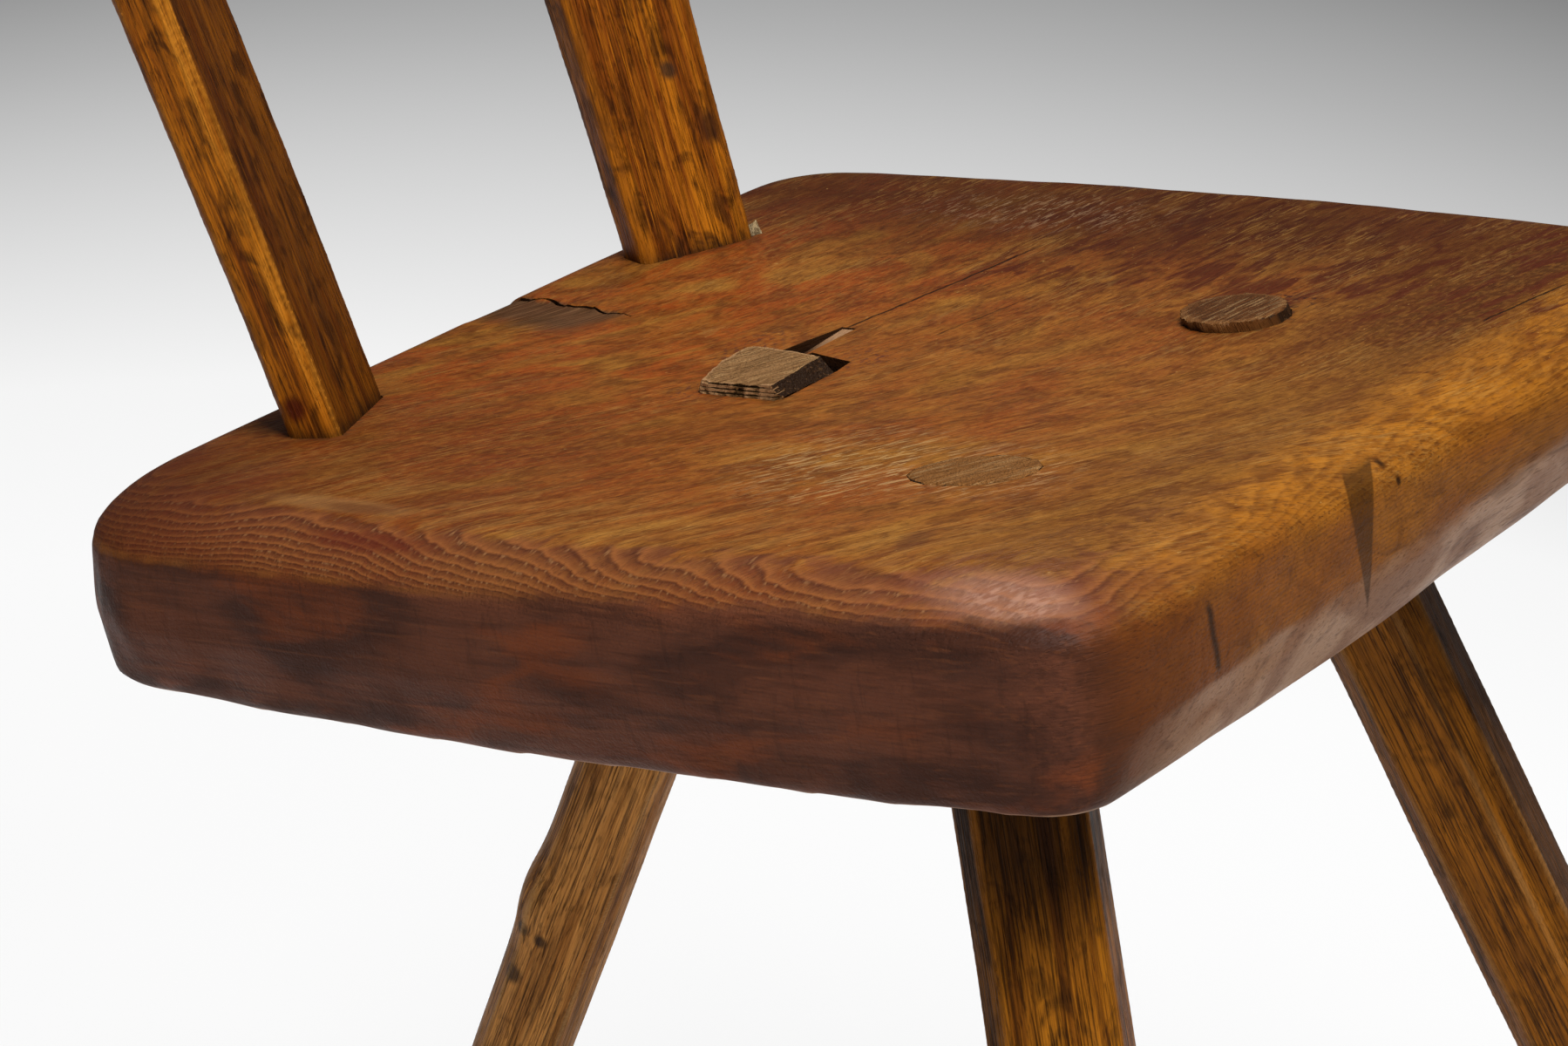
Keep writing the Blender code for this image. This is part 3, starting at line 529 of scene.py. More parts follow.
    # Front face: browner long grain, reddest at the near corner
    face = stain(tree, "#8e521b", [
        ("#985f22", 0.80, patch),
        ("#5c2a10", 0.80, between("X", -0.075, -0.150)),
        ("#43200f", 0.70, between("X", -0.145, -0.166)),
        ("#4d280f", 0.45, streak),
        ("#4f2b11", 0.35, dark_layer),
        ("#54290f", 0.30, mottle),
        ("#432410", 0.35, pore),
        ("#432410", 0.25, fibre)])

    # Ends: stained end grain, blotched red and black, with faint lines and scrapes along the edge
    end = stain(tree, "#623826", [
        ("#3a2219", 0.80, along_edge(70 * MM, 22 * MM, 0.40, 0.62, 5.0, 0.5)),
        ("#7a3c1c", 0.65, along_edge(50 * MM, 18 * MM, 0.52, 0.68, 5.0, 0.5)),
        ("#2c1811", 0.32, along_edge(60 * MM, 2.2 * MM, 0.48, 0.66, 3.0)),
        ("#7d482a", 0.25, along_edge(45 * MM, 1.6 * MM, 0.56, 0.70, 3.0)),
        ("#2a1812", 0.16, dark_layer),
        ("#24140e", 0.22, along_edge(2.6 * MM, 14 * MM, 0.56, 0.70, 4.0, 0.8))])
    crease = upward(0.20, 0.36)
    colour = stain(tree, colour, [
        (face, 1.0, side, rear),
        (face, 1.0, below_roll, front_edge),
        (end, 1.0, side, far_end),
        (end, 1.0, below_crease, right_edge, behind_corner),
        ("#9a5e28", 0.40, crease, upward(0.62, 0.42), near_end, patch, rear)])

    # Hewn chamfer and underside: greyer, with little wax. On the chamfer the pale grey is partly a painted
    # reflection of the white floor
    bare_and_sheen = stain(tree, "#b08a6d", [
        ("#87614b", 0.80, blotch),
        ("#5b3d2d", 0.45, streak),
        ("#4a3026", 0.40, pore)])
    colour = stain(tree, colour, [
        (bare_and_sheen, 0.9, upward(-0.24, -0.40), facing(tree, (0, -1, 0), 0.20, 0.45),
         between("X", -0.165, -0.095)),
        (bare_and_sheen, 0.9, upward(-0.75, -0.90))])

    # Two dark checks in the front face, and worm holes above them
    upright = add(tree, "CombineXYZ", {"X": z, "Y": x})
    colour = stain(tree, colour, [
        ("#3a2209", 0.72, wedge_check(tree, seat), between("Z", -4 * MM, -6.5 * MM), front_edge),
        ("#2f1c0e", 0.90, crack(tree, upright, *FRONT_CHECK), front_edge),
        ("#1d0f06", 0.90, mark(*UPPER_WORM_HOLE)),
        ("#1d0f06", 0.90, mark(*LOWER_WORM_HOLE))])

    # Cracks, the torn scar, grime in the joints, and painted shade in the hollows, whose walls are painted
    # dark from the rim
    flat = upward(0.75, 0.95)
    cracks = layered_sum(tree, crack(tree, seat, *SLOT_CRACK), [
        (1.0, crack(tree, seat, *FRONT_CRACK)),
        (0.6, crack(tree, seat, *MIDDLE_CRACK))])
    hollow = add(tree, "MapRange", {"Value": sunk, "From Min": 1.6 * MM, "From Max": 4.5 * MM})
    wall = add(tree, "MapRange", {"Value": sunk, "From Min": 0.05 * MM, "From Max": 0.5 * MM})
    inner_wall = add(tree, "MapRange", {"Value": edge, "From Min": 26 * MM, "From Max": 32 * MM})
    torn_wood = stain(tree, "#5f432d", [("#33200f", 0.80, fibre), ("#8a6747", 0.4, pale_fibre)])
    colour = stain(tree, colour, [
        ("#1f0f07", 0.95, cracks, flat),
        (torn_wood, 0.9, torn),
        ("#2a1512", 0.80, grime_and_shade, speckle),
        ("#4a2622", 0.60, grit, mark(*DIRT_BY_SLOT)),
        ("#4a2622", 0.60, grit, mark(*DIRT_BY_GAP)),
        ("#4a2a24", 0.55, grit, mark(*DIRT_BY_REAR_TENON)),
        ("#2e1614", 0.75, grit, mark(*DIRT_BY_ROUND_TENON)),
        ("#a5805f", 0.80, mark(*SLOT_RAMP), wall),
        # Painted shade: the walls and deep floors of the cuts and hollows darkened
        ("#2a170a", 0.92, wall, upward(0.85, 0.60)),
        ("#2a170a", 0.92, inner_wall, upward(0.60, 0.30)),
        ("#150a05", 0.96, hollow)])
    tree.links.new(colour.outputs[2], shader.inputs["Base Color"])

    # Wax is duller where the wood is torn or hollow, and hands have polished the near corner
    polish = mark(*POLISHED_CORNER)
    rough = layered_sum(tree, 0.40, [(0.10, patch), (0.25, grime_and_shade), (0.10, pore), (0.10, blotch), (0.30, torn),
                                     (0.45, hollow), (-0.16, polish)])
    tree.links.new(rough.outputs[0], shader.inputs["Roughness"])
    height = layered_sum(tree, 0.0, [
        (0.35, fibre), (-0.45, pore), (-0.25, streak), (0.3, speckle), (-2.0, cracks)])
    bump = add(tree, "Bump", {"Height": height, "Distance": 0.35 * MM, "Strength": 0.8})
    tree.links.new(bump.outputs["Normal"], shader.inputs["Normal"])
    return material


def hewn_ash(name, grain, light, mid, dark, rub, streaks, mottle, lines=0.70, tenon=None, spots_and_shade=(),
             dark_wood_and_shade_side=None):
    """Ash hewn along its grain and waxed: long fibre lines, dark open grain and arrises rubbed bright."""
    material, tree, shader = new_material(name, STICK_SPECULAR)
    place = add(tree, "TexCoord").outputs["Object"]
    coords = add(tree, "Mapping", {"Vector": place, "Location": grain.to_translation(),
                                   "Rotation": grain.to_euler()}, vector_type="TEXTURE")
    along_grain = partial(flecks, tree, coords)
    band = along_grain(120 * MM, 7 * MM, 0.36, 0.64, 4.0, 0.5)
    streak = along_grain(70 * MM, 2.4 * MM, 0.54, 0.68, 4.0, 0.5)
    line = along_grain(40 * MM, 0.60 * MM, 0.52, 0.64, 3.0)
    hairline = along_grain(22 * MM, 0.45 * MM, 0.50, 0.62, 3.0)
    fibre = along_grain(30 * MM, 0.8 * MM, 0.30, 0.70, 4.0)
    pore = along_grain(6 * MM, 0.6 * MM, 0.58, 0.70, 2.0)
    pale_fibre = along_grain(28 * MM, 0.8 * MM, 0.56, 0.68, 3.0)
    blotch = along_grain(17 * MM, 9 * MM, 0.47, 0.68, 6.0, 1.2)
    worn, grime_and_shade = stored(tree, "worn", "grime_and_shade")
    touched = along_grain(60 * MM, 20 * MM, 0.35, 0.60, 3.0)
    rubbed = add(tree, "Math", {0: worn, 1: touched}, operation="MULTIPLY")

    colour = stain(tree, light, [
        (mid, 0.95, band),
        (dark, mottle, blotch),
        (dark, streaks, streak),
        (dark, lines, line),
        (dark, 0.32, hairline),
        (dark, 0.55, pore),
        (light, 0.65, pale_fibre)])
    # One side darker: partly darker wood, partly painted shade
    if dark_wood_and_shade_side:
        colour = stain(tree, colour, [(dark, 0.58, facing(tree, dark_wood_and_shade_side, 0.62, 0.90))])
    # Spots: knots, stain marks, and a painted shadow under the seat at the right leg's top
    for spot_place, spot_size, spot_colour in spots_and_shade:
        colour = stain(tree, colour, [(spot_colour, 0.85, spot(tree, place, spot_place, spot_size))])
    # Dark by the joints: dirt, and on the legs under the seat a painted shade; arrises rubbed bright
    colour = stain(tree, colour, [("#1c0e06", 0.75, grime_and_shade), (rub, 0.85, rubbed)])
    if tenon:
        # End of the tenon above the seat: bare end grain, and a dark rough front side
        seat = seat_coordinates(tree)
        along = bent_grain(tree, seat)
        sawn = flecks(tree, along, 30 * MM, 1.3 * MM, 0.36, 0.66, 4.0)
        nicks = flecks(tree, along, 3.0 * MM, 1.0 * MM, 0.56, 0.70, 3.0)
        scuff = flecks(tree, along, 14 * MM, 1.2 * MM, 0.52, 0.64, 5.0, 0.6)
        top = stain(tree, tenon[0], [(tenon[1], 0.80, sawn), (dark, 0.55, nicks), ("#b08c5e", 0.45, scuff)])
        head = stain(tree, "#2c1c10", [
            ("#5b3f26", 0.8, nicks),
            (tenon[0], 0.80, facing(tree, (-0.8, -0.6, 0), 0.55, 0.90)),
            (top, 1.0, facing(tree, SEAT_UP, 0.66, 0.84))])
        above = zone(tree, seat, "Z", -9 * MM, -6 * MM)
        not_front = facing(tree, SEAT_REAR, -0.50, -0.20)
        colour = stain(tree, colour, [(head, 1.0, above), (tenon[2], tenon[3], worn, above, not_front)])
    tree.links.new(colour.outputs[2], shader.inputs["Base Color"])

    rough = layered_sum(tree, 0.46, [(0.08, blotch), (0.12, pore), (-0.08, rubbed)])
    tree.links.new(rough.outputs[0], shader.inputs["Roughness"])
    height = layered_sum(tree, 0.0, [(0.6, fibre), (-0.8, line), (-0.6, pore), (-0.6, streak)])
    bump = add(tree, "Bump", {"Height": height, "Distance": 0.45 * MM, "Strength": 0.85})
    tree.links.new(bump.outputs["Normal"], shader.inputs["Normal"])
    return material


def grain_frame(node):
    """Frame in the middle of a solid whose X runs along its length."""
    points = np.array([v.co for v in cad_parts[node].data.vertices])
    middle = (points.min(0) + points.max(0)) / 2
    along = Vector(np.linalg.svd(points - points.mean(0), full_matrices=False)[2][0])
    side = Vector((0, 0, 1)).cross(along).normalized()
    turn = Matrix((along, side, along.cross(side))).transposed().to_4x4()
    return Matrix.Translation(middle) @ turn


def clamped(value):
    """A number held between none and all."""
    return min(1, max(0, value))


def waves(place, lengths, shift=0):
    """Smooth noise at a place, with waves of given lengths."""
    x, y, z = (along / length for along, length in zip(place, lengths))
    return noise.noise(Vector((x + shift, y, z)))


def activate(piece):
    """Select one piece alone and make it active."""
    bpy.ops.object.select_all(action="DESELECT")
    piece.select_set(True)
    bpy.context.view_layer.objects.active = piece


def solid_copy(node, name, hull=False):
    """Merged copy of a solid, or of the solid with its mortises closed."""
    piece = bpy.data.objects.new(name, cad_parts[node].data.copy())
    bpy.context.scene.collection.objects.link(piece)
    piece.data.materials.clear()
    activate(piece)
    bpy.ops.mesh.customdata_custom_splitnormals_clear()
    bpy.ops.object.mode_set(mode="EDIT")
    bpy.ops.mesh.select_all(action="SELECT")
    bpy.ops.mesh.remove_doubles(threshold=0.01 * MM)
    if hull:
        bpy.ops.mesh.convex_hull()
    bpy.ops.object.mode_set(mode="OBJECT")
    return piece


def modify(piece, kind, **settings):
    """Add a modifier to a piece, set its fields and apply it."""
    activate(piece)
    added = piece.modifiers.new(kind, kind)
    for field, value in settings.items():
        setattr(added, field, value)
    bpy.ops.object.modifier_apply(modifier=added.name)


def refine(piece, spacing):
    """Rebuild a piece as an even mesh."""
    modify(piece, "REMESH", mode="VOXEL", voxel_size=spacing)


def soften(piece, steps, group=""):
    """Round the arrises of a piece, or of one group of its points, as wear does."""
    modify(piece, "SMOOTH", factor=0.5, iterations=steps, vertex_group=group)


def relief(piece, height):
    """Move each point of a piece along its normal by a height that depends on its place and normal."""
    moved = [v.co + v.normal * height(v.co, v.normal) for v in piece.data.vertices]
    for vertex, place in zip(piece.data.vertices, moved):
        vertex.co = place


def grown(node, gap):
    """Copy of a solid, grown by the gap of its mortise."""
    cutter = solid_copy(node, "cut_" + node)
    modify(cutter, "DISPLACE", strength=gap, mid_level=0)
    return cutter


def turn_outward(piece):
    """Turn the faces of a closed piece outwards."""
    activate(piece)
    bpy.ops.object.mode_set(mode="EDIT")
    bpy.ops.mesh.select_all(action="SELECT")
    bpy.ops.mesh.normals_make_consistent(inside=False)
    bpy.ops.object.mode_set(mode="OBJECT")


def box_cutter(name, top, floor):
    """Cutter whose four top corners and four floor corners are given in the seat frame."""
    bpy.ops.mesh.primitive_cube_add(size=1)
    cutter = bpy.context.object
    cutter.name = name
    order = sorted(cutter.data.vertices, key=lambda v: (v.co.z, v.co.y, v.co.x))
    for vertex, place in zip(order, [*floor, *top]):
        vertex.co = SEAT @ Vector(place)
    turn_outward(cutter)
    return cutter


def slot_cutter():
    """Tapered slot that runs on from the rear tenon along the grain and rises to the seat's top."""
    start_half = SLOT_START_WIDTH / 2
    end_half = SLOT_END_WIDTH / 2
    near = [(SLOT_START, -start_half), (SLOT_END, -end_half)]
    corners = [*near, (SLOT_START, start_half), (SLOT_END, end_half)]
    depths = (*SLOT_NEAR_DEPTHS, *SLOT_FAR_DEPTHS)
    top = [(p.x, p.y + half, CUT_ABOVE) for p, half in corners]
    floor = [(p.x, p.y + half, -depth) for (p, half), depth in zip(corners, depths)]
    return box_cutter("cut_slot", top, floor)


def gap_cutter():
    """Worn gap beside the rear tenon, narrower at its foot."""
    corners = [*GAP_FRONT, *GAP_REAR]
    top = [(x, y, CUT_ABOVE) for x, y in corners]
    floor = [(GAP_INNER + GAP_FOOT_SHARE * (x - GAP_INNER), y, -GAP_DEPTH) for x, y in corners]
    return box_cutter("cut_gap", top, floor)


def scar_cutter():
    """Ragged crack along the inner side of the torn scar."""
    steps = 14
    above = 8 * MM
    along = SCAR_EDGE_FRONT - SCAR_EDGE_REAR
    across = Vector((along.y, -along.x)).normalized()
    corners = []
    for step in range(steps + 1):
        share = step / steps
        middle = SCAR_EDGE_REAR.lerp(SCAR_EDGE_FRONT, share)
        middle = middle + across * 3.0 * MM * noise.noise(Vector((share * 7, 3.7, 0)))
        half = 0.9 * MM * (1 - 0.75 * share) * (1 + 0.6 * noise.noise(Vector((share * 23, 9.1, 0))))
        depth = -4.5 * MM * (1 - 0.6 * share)
        for side, height in ((-half, above), (half, above), (half, depth), (-half, depth)):
            corner = middle + across * side
            corners.append(SEAT @ Vector((corner.x, corner.y, height)))
    faces = [(0, 1, 2, 3), tuple(len(corners) - 1 - i for i in range(4))]
    for step in range(steps):
        ring = 4 * step
        for i in range(4):
            j = (i + 1) % 4
            faces.append((ring + i, ring + 4 + i, ring + 4 + j, ring + j))
    mesh = bpy.data.meshes.new("cut_scar")
    mesh.from_pydata(corners, [], faces)
    cutter = bpy.data.objects.new("cut_scar", mesh)
    bpy.context.scene.collection.objects.link(cutter)
    turn_outward(cutter)
    return cutter


def tenon_cutters():
    """Cutters that give the rear tenon its sloping front, inner end, worn top and split layers."""
    front = [(x, FRONT_CUT_Y, HEAD_HIGH) for x in FRONT_CUT_X]
    front += [(x, y, HEAD_HIGH) for x, y in zip(FRONT_CUT_X, FRONT_CUT_HIGH_Y)]
    foot = [(x, FRONT_CUT_Y, HEAD_LOW) for x in FRONT_CUT_X]
    foot += [(x, y, HEAD_LOW) for x, y in zip(FRONT_CUT_X, FRONT_CUT_LOW_Y)]
    inner = [(x, y, HEAD_HIGH) for x, y in INNER_CUT]
    inner_foot = [(x + INNER_CUT_SLANT, y, HEAD_LOW) for x, y in INNER_CUT]
    above = [(x, y, HEAD_HIGH + TOP_CUT_HEIGHT) for x, y, _ in TOP_CUT]
    cutters = [box_cutter("cut_front", front, foot)]
    cutters.append(box_cutter("cut_inner", inner, inner_foot))
    cutters.append(box_cutter("cut_top", above, TOP_CUT))
    for floor, tall, reach in SPLITS:
        split = [(SPLIT_OUTER, SPLIT_Y[0]), (SPLIT_INNER + reach, SPLIT_Y[0]),
                 (SPLIT_OUTER, SPLIT_Y[1]), (SPLIT_INNER + reach / 3, SPLIT_Y[1])]
        cutters.append(box_cutter("cut_split", [(x, y, floor + tall) for x, y in split],
                                  [(x, y, floor) for x, y in split]))
    return cutters


def cut(piece, cutters):
    """Cut solids out of a piece and remove them."""
    for cutter in cutters:
        modify(piece, "BOOLEAN", operation="DIFFERENCE", solver="EXACT", object=cutter)
        bpy.data.objects.remove(cutter)


def set_attribute(piece, name, values):
    """Store one number for each point of a piece."""
    attribute = piece.data.attributes.new(name, "FLOAT", "POINT")
    attribute.data.foreach_set("value", np.asarray(values, np.float32))


def roughen_head(piece):
    """Divide the large cut faces of the rear tenon's head and break them up, as torn end grain is."""
    head = bmesh.new()
    head.from_mesh(piece.data)
    for _ in range(6):
        cut_faces = [f for f in head.faces if (TO_SEAT @ f.calc_center_median()).z > HEAD_FOOT]
        bmesh.ops.triangulate(head, faces=cut_faces)
        edges = [e for e in head.edges if e.calc_length() > HEAD_SPACING
                 and max((TO_SEAT @ v.co).z for v in e.verts) > HEAD_FOOT]
        bmesh.ops.subdivide_edges(head, edges=edges, cuts=1)
    bmesh.ops.triangulate(head, faces=[f for f in head.faces if len(f.verts) > 4])
    head.normal_update()
    moves = []
    for vertex in head.verts:
        place = TO_SEAT @ vertex.co
        above = clamped((place.z + TENON_END_DEPTH) / (5 * MM))
        upward = max(0, vertex.normal.dot(SEAT_UP))
        coarse = waves(place, COARSE_BREAKS)
        fine = waves(place, FINE_BREAKS, 9)
        proud = clamped((place.z + 0.5 * MM) / MM)
        swell = HEAD_SWELL * proud * clamped((place.y - HEAD_SWELL_START) / HEAD_SWELL_REACH)
        swell *= min(1, max(HEAD_SWELL_LEAST, (place.x - HEAD_SWELL_LEFT) / HEAD_SWELL_REACH))
        fine_share = FINE_BREAK_SHARE - FINE_BREAK_LOSS * upward
        broken = above * MM * (COARSE_BREAK_SHARE * coarse + fine_share * fine)
        moves.append(vertex.normal * broken + SEAT_REAR * swell)
    for vertex, move in zip(head.verts, moves):
        vertex.co += move
    head.to_mesh(piece.data)
    head.free()


def mark_wear(piece):
    """Mark the arrises, which hands rub bright."""
    mesh = piece.data
    count = len(mesh.vertices)
    place = np.empty(count * 3)
    normal = np.empty(count * 3)
    ends = np.empty(len(mesh.edges) * 2, int)
    mesh.vertices.foreach_get("co", place)
    mesh.vertices.foreach_get("normal", normal)
    mesh.edges.foreach_get("vertices", ends)
    place, normal, (a, b) = place.reshape(-1, 3), normal.reshape(-1, 3), ends.reshape(-1, 2).T
    step = place[b] - place[a]
    step /= np.maximum(np.linalg.norm(step, axis=1), 1e-9)[:, None]
    shared = np.maximum(np.bincount(ends, minlength=count), 1)
    bend = np.bincount(a, -(step * normal[a]).sum(1), count)
    bend = (bend + np.bincount(b, (step * normal[b]).sum(1), count)) / shared
    for _ in range(2):
        bend = (np.bincount(a, bend[b], count) + np.bincount(b, bend[a], count)) / shared
    low, high = np.percentile(bend, WORN_PERCENT)
    set_attribute(piece, "worn", np.clip((bend - low) / (high - low), 0, 1))


def surface_of(mesh):
    """Tree that finds the nearest place on a mesh."""
    return BVHTree.FromPolygons([v.co for v in mesh.vertices], [p.vertices for p in mesh.polygons])


def mark_grime_and_shade(piece, nodes, reach):
    """Mark how near each point lies to the pieces that it is joined to, where dirt gathers and, on the legs
    under the seat, where shade is painted.
    """
    trees = [surface_of(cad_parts[name].data) for name in nodes]
    values = []
    for vertex in piece.data.vertices:
        nearest = min(tree.find_nearest(vertex.co)[3] for tree in trees)
        values.append(max(0, 1 - nearest / reach) ** 1.5)
    set_attribute(piece, "grime_and_shade", values)


def finish_piece(piece, node, material):
    """Give a piece its wood and smooth shading, and let it stand for its solid."""
    piece.data.materials.append(material)
    activate(piece)
    bpy.ops.object.shade_smooth_by_angle(angle=SHARP_ANGLE)
    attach(piece, "root")
    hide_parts(node)


def scar_share(place):
    """How deep a place in the seat frame lies in the torn scar at the rear edge."""
    along = SCAR_EDGE_FRONT - SCAR_EDGE_REAR
    offset = Vector((place.x, place.y)) - SCAR_EDGE_REAR
    share = offset.dot(along) / along.length_squared
    inward = Vector((along.y, -along.x)).normalized()
    ragged = 2.5 * MM * noise.noise(Vector((share * 9, 3.7, 0)))
    depth_in = offset.dot(inward) + ragged
    if share < -0.15 or share > 1.0 or depth_in < 0 or depth_in > SCAR_WIDTH:
        return 0
    return math.sqrt(1 - depth_in / SCAR_WIDTH) * min(1, (1 - share) * 4)


def seat_relief(co, normal):
    """Undulation of the hewn plank, deeper on its chamfer and sides, with the torn scar at the rear edge."""
    place = TO_SEAT @ co
    upward = normal.dot(SEAT_UP)
    slow = waves(place, PLANK_WAVES)
    if upward > TOP_FACING:
        return TOP_WAVE_RISE * slow - SCAR_DEPTH * scar_share(place)
    return SIDE_WAVE_RISE * slow + SIDE_TOOL_RISE * waves(place, PLANK_TOOL_MARKS, 7)


def inside_distance(places):
    """How far each place in the seat frame lies inside the plank's outline, seen from above."""
    solid = np.array([TO_SEAT @ v.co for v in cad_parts["seat_plank"].data.vertices])[:, :2]
    solid = np.unique(solid.round(6), axis=0)
    outline = solid[convex_hull_2d([Vector(p) for p in solid])]
    ahead = np.roll(outline, -1, axis=0) - outline
    inward = np.stack((-ahead[:, 1], ahead[:, 0]), axis=1) / np.linalg.norm(ahead, axis=1)[:, None]
    return (places[:, :2] @ inward.T - (outline * inward).sum(1)).min(1)


def roll_corner(seat):
    """Rub the near front corner round: the top falls to the outline in a broad roll."""
    places = np.array([TO_SEAT @ v.co for v in seat.data.vertices])
    away = np.hypot(places[:, 0] - NEAR_CORNER.x, places[:, 1] - NEAR_CORNER.y)
    share = np.clip((ROLL_REACH - away) / (ROLL_EASE * ROLL_REACH), 0, 1)
    share = share * share * (3 - 2 * share)
    inside = np.clip(1 - inside_distance(places) / ROLL_WIDTH, 0, 1)
    places[:, 2] = np.minimum(places[:, 2], -ROLL_DEPTH * share * inside ** ROLL_CURVE)
    for vertex, place in zip(seat.data.vertices, places):
        vertex.co = SEAT @ Vector(place)


def edge_wear(place):
    """How far the edges are rubbed at a place in the seat frame: most at the near front corner."""
    away = math.hypot(place.x - NEAR_CORNER.x, place.y - NEAR_CORNER.y)
    corner = clamped((CORNER_WEAR_REACH - away) / CORNER_WEAR_EASE)
    near_edge = clamped((NEAR_WEAR_X - place.x) / EDGE_WEAR_EASE)
    near_edge *= clamped((NEAR_WEAR_REAR - place.y) / NEAR_WEAR_FADE)
    front_edge = clamped((FRONT_WEAR_Y - place.y) / EDGE_WEAR_EASE)
    upper_half = clamped((place.z + WEAR_FOOT) / WEAR_FOOT_EASE)
    return max(corner, NEAR_WEAR * near_edge, FRONT_WEAR * front_edge) * upper_half


def make_seat():
    """Seat plank with softened edges, mortises, worn gap, slot and scar."""
    seat = solid_copy("seat_plank", "worn_seat", hull=True)
    refine(seat, SEAT_SPACING)
    roll_corner(seat)
    refine(seat, SEAT_SPACING)
    soften(seat, SEAT_SMOOTHING)
    upper = seat.vertex_groups.new(name="upper")
    rubbed = seat.vertex_groups.new(name="rubbed")
    for vertex in seat.data.vertices:
        place = TO_SEAT @ vertex.co
        if place.z > -UPPER_DEPTH:
            upper.add([vertex.index], 1, "REPLACE")
        rubbed.add([vertex.index], edge_wear(place), "REPLACE")
    soften(seat, UPPER_SMOOTHING, upper.name)
    soften(seat, RUBBED_SMOOTHING, rubbed.name)
    seat.vertex_groups.clear()
    relief(seat, seat_relief)
    whole = surface_of(seat.data)
    joined = ["rear_leg", "right_front_leg", "left_front_leg", "right_back_post", "left_back_post",
              "left_post_shim"]
    gaps = {"right_front_leg": TIGHT_MORTISE_GAP}
    cut(seat, [grown(node, gaps.get(node, MORTISE_GAP)) for node in joined])
    cut(seat, [slot_cutter(), gap_cutter(), scar_cutter()])
    set_attribute(seat, "sunk", [whole.find_nearest(v.co)[3] for v in seat.data.vertices])
    set_attribute(seat, "edge", inside_distance(np.array([TO_SEAT @ v.co for v in seat.data.vertices])))
    mark_grime_and_shade(seat, ["rear_leg", "left_front_leg", "right_back_post", "left_back_post"], SEAT_GRIME_REACH)
    torn = [scar_share(TO_SEAT @ v.co) if v.normal.dot(SEAT_UP) > 0.3 else 0 for v in seat.data.vertices]
    set_attribute(seat, "torn", np.minimum(1, 1.6 * np.array(torn)))
    finish_piece(seat, "seat_plank", waxed_elm_plank())


def stick_relief(grain, knot, is_leg):
    """Rule for the hewn faces of a stick: long shallow tool marks, and a swelling where a branch grew."""
    inverse = grain.inverted()

    def height(co, normal):
        if is_leg and (TO_SEAT @ co).z > -TENON_END_DEPTH:
            return seat_relief(co, normal) if normal.dot(SEAT_UP) > TOP_FACING else 0
        place = inverse @ co
        rise = STICK_WAVE_RISE * waves(place, STICK_WAVES)
        rise += STICK_TOOL_RISE * waves(place, STICK_TOOL_MARKS, 5)
        if knot:
            away = (co - knot).length / REAR_LEG_KNOT_REACH
            rise += REAR_LEG_KNOT_RISE * math.exp(-away * away * 2)
        return rise

    return height


def sharpen_shim(piece):
    """Draw the shim's upper end to a ragged point, as a cleft sliver has."""
    places = [TO_SEAT @ v.co for v in piece.data.vertices]
    top = max(p.z for p in places)
    middle = sum((Vector((p.x, p.y)) for p in places), Vector((0, 0))) / len(places)
    for vertex, place in zip(piece.data.vertices, places):
        if place.z > 0:
            share = place.z / top
            tip = middle + SHIM_LEAN * share
            keep = 1 - SHIM_TAPER * share
            x = tip.x + (place.x - middle.x) * keep
            y = tip.y + (place.y - middle.y) * keep
            vertex.co = SEAT @ Vector((x, y, place.z))


def make_stick(node, name, wood, joined, spacing=STICK_SPACING, knot=None, cutters=()):
    """Leg, post, rail, peg or shim with hewn faces."""
    grain = grain_frame(node)
    piece = solid_copy(node, name)
    refine(piece, spacing)
    shaft = piece.vertex_groups.new(name="shaft")
    is_leg = node.endswith("leg")
    below = [v.index for v in piece.data.vertices if not is_leg or (TO_SEAT @ v.co).z < SHAFT_TOP]
    shaft.add(below, 1, "REPLACE")
    soften(piece, STICK_SMOOTHING, shaft.name)
    piece.vertex_groups.clear()
    relief(piece, stick_relief(grain, knot, is_leg))
    if node == "left_post_shim":
        sharpen_shim(piece)
    if cutters:
        cut(piece, cutters)
        roughen_head(piece)
    mark_wear(piece)
    mark_grime_and_shade(piece, joined, STICK_GRIME_AND_SHADE_REACH)
    finish_piece(piece, node, hewn_ash(name + "_ash", grain, **wood))


